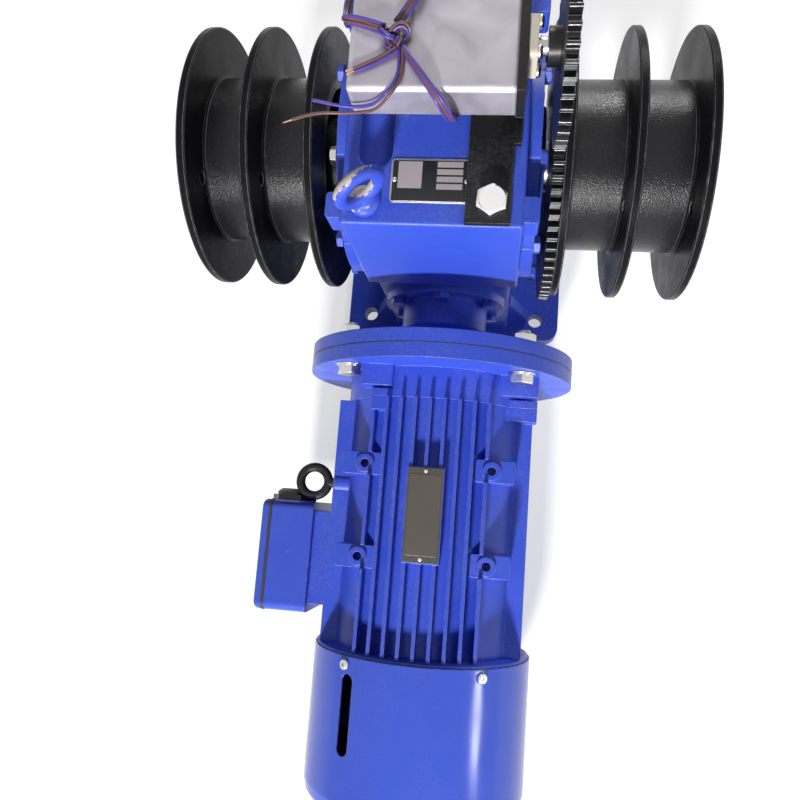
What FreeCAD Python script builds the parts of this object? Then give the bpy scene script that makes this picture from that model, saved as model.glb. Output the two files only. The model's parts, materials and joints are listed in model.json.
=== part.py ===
# Electric winch: two three-disc rope drums on one worm gearbox, a flange-mounted brake motor,
# and a screw limit switch driven by a spur gear on the right-hand drum.
# Frame: +X along the drum axis, the motor towards -Y, +Z up, base plane of the feet at Z = 0.
import FreeCAD, Part
import math
import os
import Sketcher
from FreeCAD import Placement, Rotation, Vector

SIZES = {
    # axes
    "axis_height": 228, "centre_distance": 100,
    # drums
    "disc_radius": 110, "disc_thickness": 7, "disc_pitch": 50.5, "inner_disc_x": 94.5,
    "barrel_radius": 70, "barrel_wall": 8, "web_thickness": 10, "drum_hub_radius": 38,
    "drum_hub_end": 180, "weld_leg": 2, "rim_bevel": 1, "anchor_hole_radius": 5.2,
    "anchor_hole_rise": 7, "anchor_angle_left": 36, "anchor_angle_right": 48,
    "end_plate_radius": 32, "end_plate_thickness": 8, "shaft_end_gap": 2,
    # output shaft and keys
    "shaft_radius": 25, "drum_seat_radius": 22.5, "shaft_shoulder": 84, "key_width": 14,
    "key_height": 9, "drum_key_length": 60, "wheel_key_length": 36, "seat_gap": 0.02,
    "running_gap": 0.05, "part_gap": 0.3,
    # spur gears
    "tooth_module": 3, "drum_gear_teeth": 74, "limit_gear_teeth": 40, "gear_width": 8,
    "gear_offset": 3, "tooth_play": 0.3, "gear_screw_rise": 15, "gear_screw_count": 6,
    "gear_hub_radius": 12.5, "gear_hub_length": 8,
    # worm and wheel
    "worm_module": 5, "wheel_teeth": 30, "worm_pitch_radius": 25, "worm_tip": 4,
    "worm_root": 4.8, "worm_play": 0.8, "worm_half_length": 40, "wheel_half_width": 16,
    "wheel_seat_radius": 60, "wheel_hub_radius": 42, "wheel_hub_half_length": 24,
    "wheel_web_half": 9, "worm_shoulder_radius": 24.5,
    # bearings and seals
    "output_bearing_radius": 45, "output_bearing_width": 20, "output_bearing_x": 52,
    "seal_radius": 36, "seal_width": 8, "worm_seat_radius": 22.5, "worm_bore_radius": 36,
    "worm_bearing_width": 17, "worm_bearing_y": 66, "motor_bearing_width": 16,
    "bearing_groove": 1.5,
    # gearbox casting
    "case_half_width": 68, "case_half_length": 98, "case_top": 106, "panel_drop": 36,
    "wheel_case_radius": 97, "wheel_cavity_radius": 86, "lower_half_width": 62,
    "lower_half_length": 92, "foot_half_width": 118, "foot_half_length": 105,
    "foot_thickness": 20, "foot_hole_radius": 7.5, "foot_hole_x": 93, "foot_hole_y": 83,
    "foot_corner": 14, "case_round": 3, "lug_reach": 11, "lug_length": 20, "lug_height": 28,
    "lug_front": 93, "valley_inner": 31, "valley_outer": 57, "valley_depth": 14,
    "valley_half_length": 55, "foot_rib_thickness": 10, "foot_rib_height": 60,
    # side covers
    "side_cover_radius": 95, "side_cover_thickness": 10, "side_boss_radius": 48,
    "side_boss_reach": 15, "side_spigot_length": 10, "bearing_boss_wall": 7,
    "side_screw_circle": 90.5, "side_screw_count": 8,
    # worm tunnel ends
    "tunnel_cover_radius": 58, "tunnel_cover_thickness": 10, "tunnel_spigot_length": 8.6,
    "tunnel_screw_circle": 50, "tunnel_screw_count": 6, "neck_radius": 41,
    "neck_end": 128, "cone_radius": 82, "bell_cavity_radius": 32, "bell_cavity_end": 148,
    # motor flange pair
    "flange_radius": 125, "adapter_flange_y": 153.2, "flange_seam_y": 165.5,
    "shield_flange_y": 178.3, "spigot_radius": 90, "spigot_length": 4.8,
    "flange_bolt_circle": 107.5, "flange_bolt_radius": 6, "flange_hole_radius": 7.25,
    # motor
    "frame_start": 206, "frame_end": 424, "frame_wall": 6, "frame_bore": 78,
    "fin_height": 12, "side_fin_height": 5, "fin_thickness": 3, "fin_pitch": 12.6,
    "pad_drop": 9, "pad_root": 30, "pad_inner": 41, "pad_outer": 75, "pad_length": 19.5,
    "pad_front_y": 265, "pad_rear_y": 345, "pad_hole_radius": 3.7, "pad_hole_x": 55,
    "pad_hole_depth": 14, "pad_boss_radius": 8, "pad_boss_height": 2, "pad_round": 2,
    "plate_pad_left": 15, "plate_pad_right": 16.5, "plate_pad_front": 266, "plate_pad_rear": 346,
    "plate_pad_sink": 4, "plate_pad_rise": 0.5, "bell_rise": 2,
    "ear_inner": 35, "ear_wide": 63, "ear_narrow": 54, "ear_drop": 2, "ear_side_rise": 6,
    "ear_root": 45, "ear_step_y": 197, "ear_slot": 2, "ear_end_y": 218, "ear_round": 3,
    "rear_shield_radius": 97.2, "rear_shield_end": 441, "register_length": 4,
    "motor_shaft_radius": 14, "motor_shaft_reach": 60, "front_bearing_bore": 15,
    "front_bearing_radius": 31, "front_bearing_y": 185, "rear_bearing_bore": 12.5,
    "rear_bearing_radius": 26, "rear_bearing_y": 419, "rotor_seat_radius": 20,
    "rotor_radius": 48.4, "air_gap": 0.6, "core_start": 262, "core_end": 372,
    "winding_reach": 22, "winding_inner": 53, "winding_gap": 6,
    # brake, fan and cowl
    "brake_disc_radius": 55, "brake_disc_thickness": 9, "brake_gap": 0.3,
    "armature_radius": 60, "armature_thickness": 7, "armature_travel": 0.6,
    "coil_radius": 74, "coil_length": 36, "coil_bore": 18, "brake_bolt_circle": 67,
    "fan_seat_radius": 10, "fan_start": 506, "fan_end": 532, "fan_radius": 82,
    "fan_hub_radius": 19, "fan_blades": 9, "fan_blade_thickness": 3, "shaft_tail": 536,
    "cowl_radius": 99, "cowl_wall": 1.5, "cowl_start": 427, "cowl_end": 562,
    "cowl_round": 20, "grille_slots": 24, "grille_slot_width": 4, "grille_inner": 26,
    "grille_outer": 74, "release_slot_width": 12, "release_slot_start": 441,
    "release_slot_end": 506, "release_slot_angle": 33, "cowl_screw_angle": 35,
    "cowl_screw_y": 434,
    # terminal box
    "box_front_y": 302, "box_rear_y": 402, "box_half_height": 42, "box_outer_x": 145,
    "box_inner_x": 105, "box_wall": 4, "lid_thickness": 9, "lid_round": 5, "box_round": 8,
    "neck_inset": 8, "gland_radius": 18.5, "gland_reach": 11, "gland_x": 132,
    "gland_rise": 8, "gland_thread_radius": 10.5, "gland_thread_length": 10, "gland_nut": 5,
    "lid_screw_seat": 5, "corner_wall": 12,
    # eye bolts
    "eye_x": 49, "eye_y": 81.5, "eye_ring": 16, "eye_wire": 5, "eye_collar_radius": 12,
    "eye_collar": 6, "eye_shank": 18, "eye_shank_radius": 6, "eye_turn": 37,
    "motor_eye_reach": 20.5, "motor_eye_y": 283, "motor_eye_rise": 31.5, "motor_eye_ring": 13.2,
    "motor_eye_wire": 4.2, "motor_eye_shank_radius": 4, "motor_eye_shank": 12, "motor_eye_collar": 7,
    "motor_eye_collar_radius": 4.5, "eye_boss_sink": 6, "eye_boss_reach": 4, "eye_boss_radius": 10,
    # oil plugs
    "plug_radius": 8, "plug_flat": 11, "plug_head": 8, "vent_y": 76, "drain_height": 42,
    # limit switch
    "bracket_inner_x": 57, "bracket_plate": 6, "bracket_leg": 5, "bracket_left_x": 25,
    "bracket_front_right_x": 58, "bracket_front_y": 97, "bracket_half_length": 41,
    "bracket_wide_y": 36, "bracket_neck_front": 16, "bracket_neck_rear": 38,
    "bracket_rear_y": 85, "bracket_rise": 18, "bracket_bolt_x": 44, "bracket_bolt_front": 82,
    "bracket_bolt_rear": 70, "bracket_bolt_radius": 7, "bracket_bolt_flat": 10.5,
    "bracket_bolt_head": 9, "bracket_bolt_depth": 16,
    "limit_box_left": 52, "limit_box_half": 40, "limit_box_rise": 16, "limit_box_drop": 14,
    "sheet": 1.5, "sheet_bend": 2.5, "base_plate": 2, "base_wall": 3, "cover_gap": 0.5,
    "limit_shaft_radius": 6, "lead_screw_radius": 5, "lead_screw_left": 49, "bush_radius": 8,
    "bush_length": 6, "bearing_block": 30, "bearing_block_plate": 6, "bearing_boss_radius": 11,
    "block_bolt": 10.5, "nut_half_length": 8, "nut_front": 21, "nut_rear": 22,
    "nut_half_height": 10, "nut_travel": 23.6, "guide_rod_radius": 3, "guide_rod_y": 15.5,
    "switch_y": 18, "switch_width": 10, "switch_length": 12, "switch_height": 22,
    "plunger_radius": 1.5, "plunger_reach": 2.6, "plunger_depth": 6,
    # fasteners
    "eight_radius": 4, "eight_flat": 6.5, "eight_head": 5.5, "eight_depth": 12,
    "twelve_flat": 9.5, "twelve_head": 7.5, "twelve_washer": 12, "washer_thickness": 2.5,
    "five_radius": 2.5, "five_head_radius": 4.5, "five_head": 3, "five_depth": 8,
    # wires
    "bundle_radius": 2.6, "pair_radius": 1.8, "single_radius": 1.15, "knot_wire_radius": 2.2,
    "knot_half_width": 9, "knot_half_depth": 7, "knot_half_height": 3,
}

doc = FreeCAD.newDocument("ElectricWinch")
sheet = doc.addObject("Spreadsheet::Sheet", "Sizes")
for row, (alias, number) in enumerate(SIZES.items(), 1):
    sheet.set("A%d" % row, alias)
    sheet.set("B%d" % row, str(number))
    sheet.setAlias("B%d" % row, alias)
doc.recompute()


class Size:
    """A length worked out from the sheet: its number now, and the formula that keeps it so."""

    def __init__(self, value, formula):
        self.value = value
        self.formula = formula

    def __float__(self):
        return float(self.value)

    def __neg__(self):
        return Size(-self.value, "(0 - %s)" % self.formula)

    def __add__(self, other):
        other = as_size(other)
        return Size(self.value + other.value, "(%s + %s)" % (self.formula, other.formula))

    def __sub__(self, other):
        other = as_size(other)
        return Size(self.value - other.value, "(%s - %s)" % (self.formula, other.formula))

    def __mul__(self, other):
        other = as_size(other)
        return Size(self.value * other.value, "(%s * %s)" % (self.formula, other.formula))

    def __truediv__(self, other):
        other = as_size(other)
        return Size(self.value / other.value, "(%s / %s)" % (self.formula, other.formula))

    def __radd__(self, other):
        return as_size(other) + self

    def __rsub__(self, other):
        return as_size(other) - self

    __rmul__ = __mul__


def as_size(value):
    if isinstance(value, Size):
        return value
    return Size(value, "(%.9g)" % value)


class Sheet:
    """Gives each driving dimension by its alias."""

    def __getattr__(self, alias):
        return Size(float(sheet.get(alias)), "Sizes." + alias)


d = Sheet()

# Places that many pieces share
worm_z = d.axis_height - d.centre_distance
case_top_z = d.axis_height + d.case_top
barrel_end = d.inner_disc_x + d.disc_pitch * 2 + d.disc_thickness
drum_pitch_radius = d.tooth_module * d.drum_gear_teeth / 2
limit_pitch_radius = d.tooth_module * d.limit_gear_teeth / 2
limit_z = d.axis_height + drum_pitch_radius + limit_pitch_radius
gear_x = d.inner_disc_x - d.gear_width
limit_gear_x = gear_x - d.gear_offset
box_top_z = limit_z + d.limit_box_rise
box_bottom_z = limit_z - d.limit_box_drop
bracket_top_z = limit_z + d.bracket_rise
bracket_outer_x = d.bracket_inner_x + d.bracket_plate
base_top_z = box_bottom_z + 1 + d.base_plate
gear_screw_circle = d.barrel_radius + d.gear_screw_rise
frame_radius = d.frame_bore + d.frame_wall
fin_reach = frame_radius + d.fin_height
side_reach = frame_radius + d.side_fin_height
bell_radius = frame_radius + d.bell_rise
pad_height = frame_radius - d.pad_drop
eye_boss_end = frame_radius + d.eye_boss_reach

AIM = {
    "+x": Rotation(Vector(0, 1, 0), 90), "-x": Rotation(Vector(0, 1, 0), -90),
    "+y": Rotation(Vector(1, 0, 0), -90), "-y": Rotation(Vector(1, 0, 0), 90),
    "+z": Rotation(), "-z": Rotation(Vector(1, 0, 0), 180),
}


# Helpers that make bound pieces
def facing(aim):
    """The rotation for a named direction; a rotation is passed on as it is."""
    return AIM[aim] if isinstance(aim, str) else aim


def bind(obj, prop, value):
    obj.setExpression(prop, as_size(value).formula)


def put(obj, place, rotation=None):
    """Turns an object, then ties its base point to the sheet."""
    obj.Placement = Placement(Vector(), rotation or Rotation())
    for axis, value in zip("xyz", place):
        bind(obj, "Placement.Base." + axis, value)
    return obj


def box(x, y, z):
    """A block given as (low, high) along each axis."""
    obj = doc.addObject("Part::Box", "Block")
    for prop, (low, high) in zip(("Length", "Width", "Height"), (x, y, z)):
        bind(obj, prop, as_size(high) - low)
    return put(obj, (x[0], y[0], z[0]))


def rod(place, aim, radius, length):
    obj = doc.addObject("Part::Cylinder", "Rod")
    bind(obj, "Radius", radius)
    bind(obj, "Height", length)
    return put(obj, place, facing(aim))


def hexagon(place, aim, half_flat, height):
    obj = doc.addObject("Part::Prism", "Hexagon")
    obj.Polygon = 6
    bind(obj, "Circumradius", half_flat / math.cos(math.pi / 6))
    bind(obj, "Height", height)
    return put(obj, place, facing(aim))


def ring(place, rotation, mean_radius, wire_radius):
    obj = doc.addObject("Part::Torus", "Ring")
    bind(obj, "Radius1", mean_radius)
    bind(obj, "Radius2", wire_radius)
    return put(obj, place, rotation)


def join(parts):
    obj = doc.addObject("Part::MultiFuse", "Joined")
    obj.Shapes = parts
    return obj


def cut(base, tools):
    obj = doc.addObject("Part::Cut", "Cut")
    obj.Base = base
    obj.Tool = tools[0] if len(tools) == 1 else join(tools)
    return obj


def group(parts):
    obj = doc.addObject("Part::Compound", "Group")
    obj.Links = parts
    return obj


def rounded(base, radius, chosen):
    """Rounds the edges that the test picks out of a finished block."""
    doc.recompute()
    size = float(radius)
    obj = doc.addObject("Part::Fillet", "Rounded")
    obj.Base = base
    edges = base.Shape.Edges
    obj.Edges = [(i, size, size) for i, edge in enumerate(edges, 1) if chosen(edge)]
    return obj


def runs_along(axis):
    """Tells a straight edge that lies along one axis."""
    def test(edge):
        first, last = edge.Vertexes[0].Point, edge.Vertexes[-1].Point
        span = last - first
        return span.Length > 1e-6 and abs(getattr(span, axis)) > 0.999 * span.Length
    return test


def outline(body, points, plane):
    """A closed sketch whose corners are each tied to the sheet."""
    sketch = body.newObject("Sketcher::SketchObject", body.Name + "Outline")
    support = [f for f in body.Origin.OriginFeatures if f.Role == plane][0]
    sketch.AttachmentSupport = [(support, "")]
    sketch.MapMode = "FlatFace"
    points = [(as_size(u), as_size(v)) for u, v in points]
    corners = [Vector(float(u), float(v), 0) for u, v in points]
    for i, corner in enumerate(corners):
        sketch.addGeometry(Part.LineSegment(corner, corners[(i + 1) % len(corners)]))
    for i, (u, v) in enumerate(points):
        sketch.addConstraint(Sketcher.Constraint("Coincident", i, 2, (i + 1) % len(points), 1))
        for axis, size, line in (("X", u, -2), ("Y", v, -1)):
            if size.value == 0:
                sketch.addConstraint(Sketcher.Constraint("PointOnObject", i, 1, line))
                continue
            tie = Sketcher.Constraint("Distance" + axis, -1, 1, i, 1, size.value)
            number = sketch.addConstraint(tie)
            sketch.setExpression("Constraints[%d]" % number, size.formula)
    return sketch


def turned(axis, profile, place):
    """A turned piece from (along the axis, radius) corners."""
    body = doc.addObject("PartDesign::Body", "Turned")
    if axis == "x":
        sketch, line = outline(body, profile, "XY_Plane"), "H_Axis"
    elif axis == "y":
        sketch, line = outline(body, [(r, a) for a, r in profile], "XY_Plane"), "V_Axis"
    else:
        sketch, line = outline(body, [(r, a) for a, r in profile], "XZ_Plane"), "V_Axis"
    revolution = body.newObject("PartDesign::Revolution", body.Name + "Revolution")
    revolution.Profile = sketch
    revolution.ReferenceAxis = (sketch, [line])
    revolution.Angle = 360
    return put(body, place)


def motor_turned(profile):
    """A piece turned about the motor axis, from (distance in front of the drum axis, radius)."""
    return turned("y", [(-as_size(a), r) for a, r in profile], (0, 0, worm_z))


def shaped(shape, label):
    obj = doc.addObject("Part::Feature", label)
    obj.Shape = shape
    return obj


def on_circle(count, radius, start=0.0):
    """Points on a circle as (cosine part, sine part, angle in degrees)."""
    for i in range(int(float(count))):
        angle = start + 360.0 * i / int(float(count))
        turn = math.radians(angle)
        yield radius * math.cos(turn), radius * math.sin(turn), angle


def hex_screw(place, aim, radius, half_flat, head, length):
    """A hexagon-head screw whose head stands on the place and points along the aim."""
    head_piece = hexagon(place, aim, half_flat, head)
    back = {"+": "-", "-": "+"}[aim[0]] + aim[1]
    return join([head_piece, rod(place, back, radius, length)])


# Toothed shapes
def tooth_outline(teeth, module, tip, root, play, phase):
    """The closed edge of an involute gear, with one tooth centred on the phase angle."""
    pitch_radius = module * teeth / 2
    base_radius = pitch_radius * math.cos(math.radians(20))
    pressure = math.radians(20)
    half_pitch = math.pi / (2 * teeth) - play / (4 * pitch_radius) + math.tan(pressure) - pressure

    def half_angle(radius):
        inner = max(radius, base_radius)
        slope = math.acos(base_radius / inner)
        return half_pitch - (math.tan(slope) - slope)

    def point(radius, angle):
        return Vector(radius * math.cos(angle), radius * math.sin(angle), 0)

    tip_radius, root_radius = pitch_radius + tip, pitch_radius - root
    middle_radius = (tip_radius + root_radius) / 2
    edges = []
    for k in range(teeth):
        centre = phase + 2 * math.pi * k / teeth
        after = centre + math.pi / teeth
        stations = [(r, half_angle(r)) for r in (root_radius, middle_radius, tip_radius)]
        rise = [point(r, centre - a) for r, a in stations]
        fall = [point(r, centre + a) for r, a in reversed(stations)]
        following = point(root_radius, centre + 2 * math.pi / teeth - stations[0][1])
        edges.append(Part.Arc(*rise).toShape())
        edges.append(Part.Arc(rise[2], point(tip_radius, centre), fall[0]).toShape())
        edges.append(Part.Arc(*fall).toShape())
        edges.append(Part.Arc(fall[2], point(root_radius, after), following).toShape())
    return Part.Wire(edges)


def along_x(shape, x, z):
    """Stands a shape drawn about +Z on the X axis: drawn X becomes Y and drawn Y becomes Z."""
    turn = Rotation(Vector(0, 1, 0), Vector(0, 0, 1), Vector(1, 0, 0), "ZXY")
    shape.Placement = Placement(Vector(float(x), 0, float(z)), turn)
    return shape


def spur_gear(teeth, module, width, play, phase_degrees):
    wire = tooth_outline(teeth, module, module, 1.25 * module, play, math.radians(phase_degrees))
    return Part.Face(wire).extrude(Vector(0, 0, width))


nodes = {}


def node(name, obj):
    obj.Label = name
    nodes[name] = obj
    return obj


# Drums: a hubbed barrel with three welded discs on each side
for side, sign in (("left", -1), ("right", 1)):
    bore = d.drum_seat_radius + d.seat_gap
    inner = d.barrel_radius - d.barrel_wall
    web = d.inner_disc_x + d.disc_pitch - d.web_thickness / 2
    profile = [
        (gear_x, bore), (d.drum_hub_end, bore), (d.drum_hub_end, d.drum_hub_radius),
        (web + d.web_thickness, d.drum_hub_radius), (web + d.web_thickness, inner),
        (barrel_end, inner), (barrel_end, d.barrel_radius), (d.inner_disc_x, d.barrel_radius),
        (d.inner_disc_x, inner), (web, inner), (web, d.drum_hub_radius),
        (gear_x, d.drum_hub_radius),
    ]
    barrel = turned("x", [(x * sign, r) for x, r in profile], (0, 0, d.axis_height))
    key_x = sorted((d.drum_hub_end * sign, (d.drum_hub_end - d.drum_key_length) * sign), key=float)
    keyway = box(key_x, (-(d.key_width / 2), d.key_width / 2),
                 (d.axis_height, d.axis_height + d.drum_seat_radius + d.key_height / 2))
    node("drum_barrel_" + side, cut(barrel, [keyway]))

    # The two outer discs have a hole just above the barrel, where a rope end is led through
    swing = math.radians(float(d.anchor_angle_left if side == "left" else d.anchor_angle_right))
    anchor_radius = d.barrel_radius + d.anchor_hole_rise
    discs = []
    for disc in range(3):
        near = d.inner_disc_x + d.disc_pitch * disc
        far = near + d.disc_thickness
        inside = d.barrel_radius + d.seat_gap
        bevel = d.rim_bevel
        rim = [(near + bevel, d.disc_radius), (near, d.disc_radius - bevel)]
        back = [(far, d.disc_radius - bevel), (far - bevel, d.disc_radius)]
        near_weld = [(near, inside)]
        if disc > 0:
            near_weld = [(near, inside + d.weld_leg), (near - d.weld_leg, inside)]
        far_weld = [(far, inside)]
        if disc < 2:
            far_weld = [(far + d.weld_leg, inside), (far, inside + d.weld_leg)]
        shape = rim + near_weld + far_weld + back
        piece = turned("x", [(x * sign, r) for x, r in shape], (0, 0, d.axis_height))
        if disc == 0 and side == "right":
            holes = [rod((near, y, d.axis_height + z), "+x", d.eight_radius, d.disc_thickness)
                     for y, z, _ in on_circle(d.gear_screw_count, gear_screw_circle)]
            piece = cut(piece, holes)
        if disc > 0:
            place = (near * sign, -(anchor_radius * math.sin(swing)),
                     d.axis_height + anchor_radius * math.cos(swing))
            aim = "+x" if sign > 0 else "-x"
            piece = cut(piece, [rod(place, aim, d.anchor_hole_radius, d.disc_thickness)])
        discs.append(piece)
    node("drum_discs_" + side, group(discs))

# Output shaft with its keys and end plates
shaft_end = d.drum_hub_end - d.shaft_end_gap
half = [(d.shaft_shoulder, d.shaft_radius), (d.shaft_shoulder, d.drum_seat_radius),
        (shaft_end - 1, d.drum_seat_radius), (shaft_end, d.drum_seat_radius - 1), (shaft_end, 0)]
profile = [(-x, r) for x, r in reversed(half)] + half
shaft = turned("x", profile, (0, 0, d.axis_height))
key_half = d.key_width / 2
key_floor = d.axis_height + d.drum_seat_radius - d.key_height / 2
wheel_key_floor = d.axis_height + d.shaft_radius - d.key_height / 2
key_spans = [
    ((-shaft_end, -(d.drum_hub_end - d.drum_key_length)), key_floor),
    ((d.drum_hub_end - d.drum_key_length, shaft_end), key_floor),
    ((-(d.wheel_key_length / 2), d.wheel_key_length / 2), wheel_key_floor),
]
slots = [box(x, (-key_half, key_half), (z, z + d.key_height)) for x, z in key_spans]
tapped = [rod((shaft_end * s, 0, d.axis_height), aim, d.flange_bolt_radius, 34)
          for s, aim in ((1, "-x"), (-1, "+x"))]
node("output_shaft", cut(shaft, slots + tapped))
play = d.seat_gap
keys = [box((x[0] + play, x[1] - play), (play - key_half, key_half - play),
            (z + play, z + d.key_height - play)) for x, z in key_spans]
node("shaft_keys", group(keys))
plates = []
for sign, aim in ((-1, "-x"), (1, "+x")):
    plate = rod((d.drum_hub_end * sign, 0, d.axis_height), aim, d.end_plate_radius, d.end_plate_thickness)
    hole = rod((d.drum_hub_end * sign, 0, d.axis_height), aim, d.flange_bolt_radius + d.part_gap,
               d.end_plate_thickness)
    plates.append(cut(plate, [hole]))
node("drum_end_plates", group(plates))

# Spur gears: the drum's gear plate and the limit switch gear above it
module = float(d.tooth_module)
big = spur_gear(int(float(d.drum_gear_teeth)), module, float(d.gear_width), float(d.tooth_play), 90)
blank = shaped(big, "DrumGearTeeth")
blank.Placement = along_x(Part.Shape(), gear_x, d.axis_height).Placement
holes = [rod((gear_x, 0, d.axis_height), "+x", d.drum_hub_radius + d.seat_gap, d.gear_width)]
screws = []
sink = d.eight_radius * 2
for y, z, _ in on_circle(d.gear_screw_count, gear_screw_circle):
    for clearance, parts in ((d.part_gap, holes), (as_size(0), screws)):
        head = doc.addObject("Part::Cone", "Countersink")
        bind(head, "Radius1", sink + clearance)
        bind(head, "Radius2", d.eight_radius + clearance)
        bind(head, "Height", d.eight_radius)
        put(head, (gear_x, y, d.axis_height + z), AIM["+x"])
        length = d.gear_width if parts is holes else d.gear_width + d.disc_thickness - 1
        radius = d.eight_radius + clearance if parts is holes else d.eight_radius - d.seat_gap
        shank = rod((gear_x, y, d.axis_height + z), "+x", radius, length)
        if parts is holes:
            parts.extend([head, shank])
        else:
            parts.append(join([head, shank]))
node("drum_gear", cut(blank, holes))
node("gear_screws", group(screws))

limit_teeth = int(float(d.limit_gear_teeth))
half_tooth = 180.0 / limit_teeth
small = spur_gear(limit_teeth, module, float(d.gear_width), float(d.tooth_play), half_tooth - 90)
blank = shaped(small, "LimitGearTeeth")
blank.Placement = along_x(Part.Shape(), limit_gear_x, limit_z).Placement
hub = rod((limit_gear_x - d.gear_hub_length, 0, limit_z), "+x", d.gear_hub_radius, d.gear_hub_length)
bore = rod((limit_gear_x - d.gear_hub_length, 0, limit_z), "+x", d.limit_shaft_radius + d.seat_gap,
           d.gear_hub_length + d.gear_width)
node("limit_gear", cut(join([blank, hub]), [bore]))

# Worm wheel: a bronze rim with angled teeth on an iron hub
wheel_teeth = int(float(d.wheel_teeth))
worm_module = float(d.worm_module)
lead_slope = worm_module / (2 * float(d.worm_pitch_radius))
wheel_pitch_radius = worm_module * wheel_teeth / 2
half_width = float(d.wheel_half_width)
sections = []
for x in (-half_width, 0.0, half_width):
    phase = -math.pi / 2 + math.pi / wheel_teeth + lead_slope * x / wheel_pitch_radius
    wire = tooth_outline(wheel_teeth, worm_module, float(d.worm_tip), 1.1 * worm_module,
                         float(d.worm_play), phase)
    wire.translate(Vector(0, 0, x))
    sections.append(wire)
rim = shaped(Part.makeLoft(sections, True, True), "WormWheelTeeth")
rim.Placement = along_x(Part.Shape(), 0, d.axis_height).Placement
inside = rod((-d.wheel_half_width, 0, d.axis_height), "+x", d.wheel_seat_radius, d.wheel_half_width * 2)
node("worm_wheel_rim", cut(rim, [inside]))
seat = d.wheel_seat_radius - d.seat_gap
hub_half, web_half = d.wheel_hub_half_length, d.wheel_web_half
profile = [
    (-hub_half, d.shaft_radius + d.seat_gap), (hub_half, d.shaft_radius + d.seat_gap),
    (hub_half, d.wheel_hub_radius), (web_half, d.wheel_hub_radius), (web_half, seat - 7),
    (d.wheel_half_width, seat - 7), (d.wheel_half_width, seat), (-d.wheel_half_width, seat),
    (-d.wheel_half_width, seat - 7), (-web_half, seat - 7), (-web_half, d.wheel_hub_radius),
    (-hub_half, d.wheel_hub_radius),
]
hub = turned("x", profile, (0, 0, d.axis_height))
keyway = box((-hub_half, hub_half), (-key_half, key_half),
             (d.axis_height, d.axis_height + d.shaft_radius + d.key_height / 2))
node("worm_wheel_hub", cut(hub, [keyway]))

# Worm shaft: a hollow front end takes the motor shaft
bearing_far = d.worm_bearing_y + d.worm_bearing_width
thread_root = d.worm_pitch_radius - d.worm_root
bore_start = d.flange_seam_y - d.motor_shaft_reach - 5
profile = [
    (-bearing_far, 0), (-bearing_far, d.worm_seat_radius - 1), (1 - bearing_far, d.worm_seat_radius),
    (-d.worm_bearing_y, d.worm_seat_radius), (-d.worm_bearing_y, d.worm_shoulder_radius),
    (-d.worm_half_length - 6, d.worm_shoulder_radius), (-d.worm_half_length, thread_root),
    (d.worm_half_length, thread_root), (d.worm_half_length + 6, d.worm_shoulder_radius),
    (d.worm_bearing_y, d.worm_shoulder_radius), (d.worm_bearing_y, d.worm_seat_radius),
    (d.bell_cavity_end - 2, d.worm_seat_radius),
    (d.bell_cavity_end - 2, d.motor_shaft_radius + d.seat_gap),
    (bore_start, d.motor_shaft_radius + d.seat_gap), (bore_start, 0),
]
core = motor_turned(profile)
lead = math.pi * worm_module
pitch_radius = float(d.worm_pitch_radius)
half_thick = lead / 4 - float(d.worm_play) / 4
slope = math.tan(math.radians(20))
tip, root = float(d.worm_tip), float(d.worm_root) + 1
thread_half = float(d.worm_half_length) - 6
turns = round(2 * thread_half / lead)
start = -lead * turns / 2
tooth_corners = [
    Vector(pitch_radius - root, 0, -half_thick - root * slope),
    Vector(pitch_radius + tip, 0, -half_thick + tip * slope),
    Vector(pitch_radius + tip, 0, half_thick - tip * slope),
    Vector(pitch_radius - root, 0, half_thick + root * slope),
]
tooth = Part.makePolygon(tooth_corners + tooth_corners[:1])
tooth.translate(Vector(0, 0, start))
helix = Part.makeHelix(lead, lead * turns, pitch_radius)
helix.translate(Vector(0, 0, start))
sweep = Part.Wire(helix.Edges).makePipeShell([tooth], True, True)
thread = shaped(sweep, "WormThread")
# The helix is drawn about +Z from drawn +X: drawn +Z goes to +Y and drawn +X to +Z, so the thread
# crosses the top of the worm at Y = 0, in a gap of the wheel.
turn = Rotation(Vector(0, 0, 1), Vector(1, 0, 0), Vector(0, 1, 0), "ZXY")
half_turn = Rotation(Vector(0, 0, 1), 180.0 * (turns % 2))
thread.Placement = Placement(Vector(0, 0, float(worm_z)), turn.multiply(half_turn))
node("worm_shaft", join([core, thread]))


# Bearings and seals: plain shielded rings
def bearing(axis, low, width, bore, radius, z):
    groove = d.bearing_groove
    third = (radius - bore) / 3
    profile = [
        (low, bore), (low + width, bore), (low + width, bore + third),
        (low + width - groove, bore + third), (low + width - groove, radius - third),
        (low + width, radius - third), (low + width, radius), (low, radius),
        (low, radius - third), (low + groove, radius - third), (low + groove, bore + third),
        (low, bore + third),
    ]
    return turned(axis, profile, (0, 0, z))


def seat_of(radius):
    return radius - d.seat_gap


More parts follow.
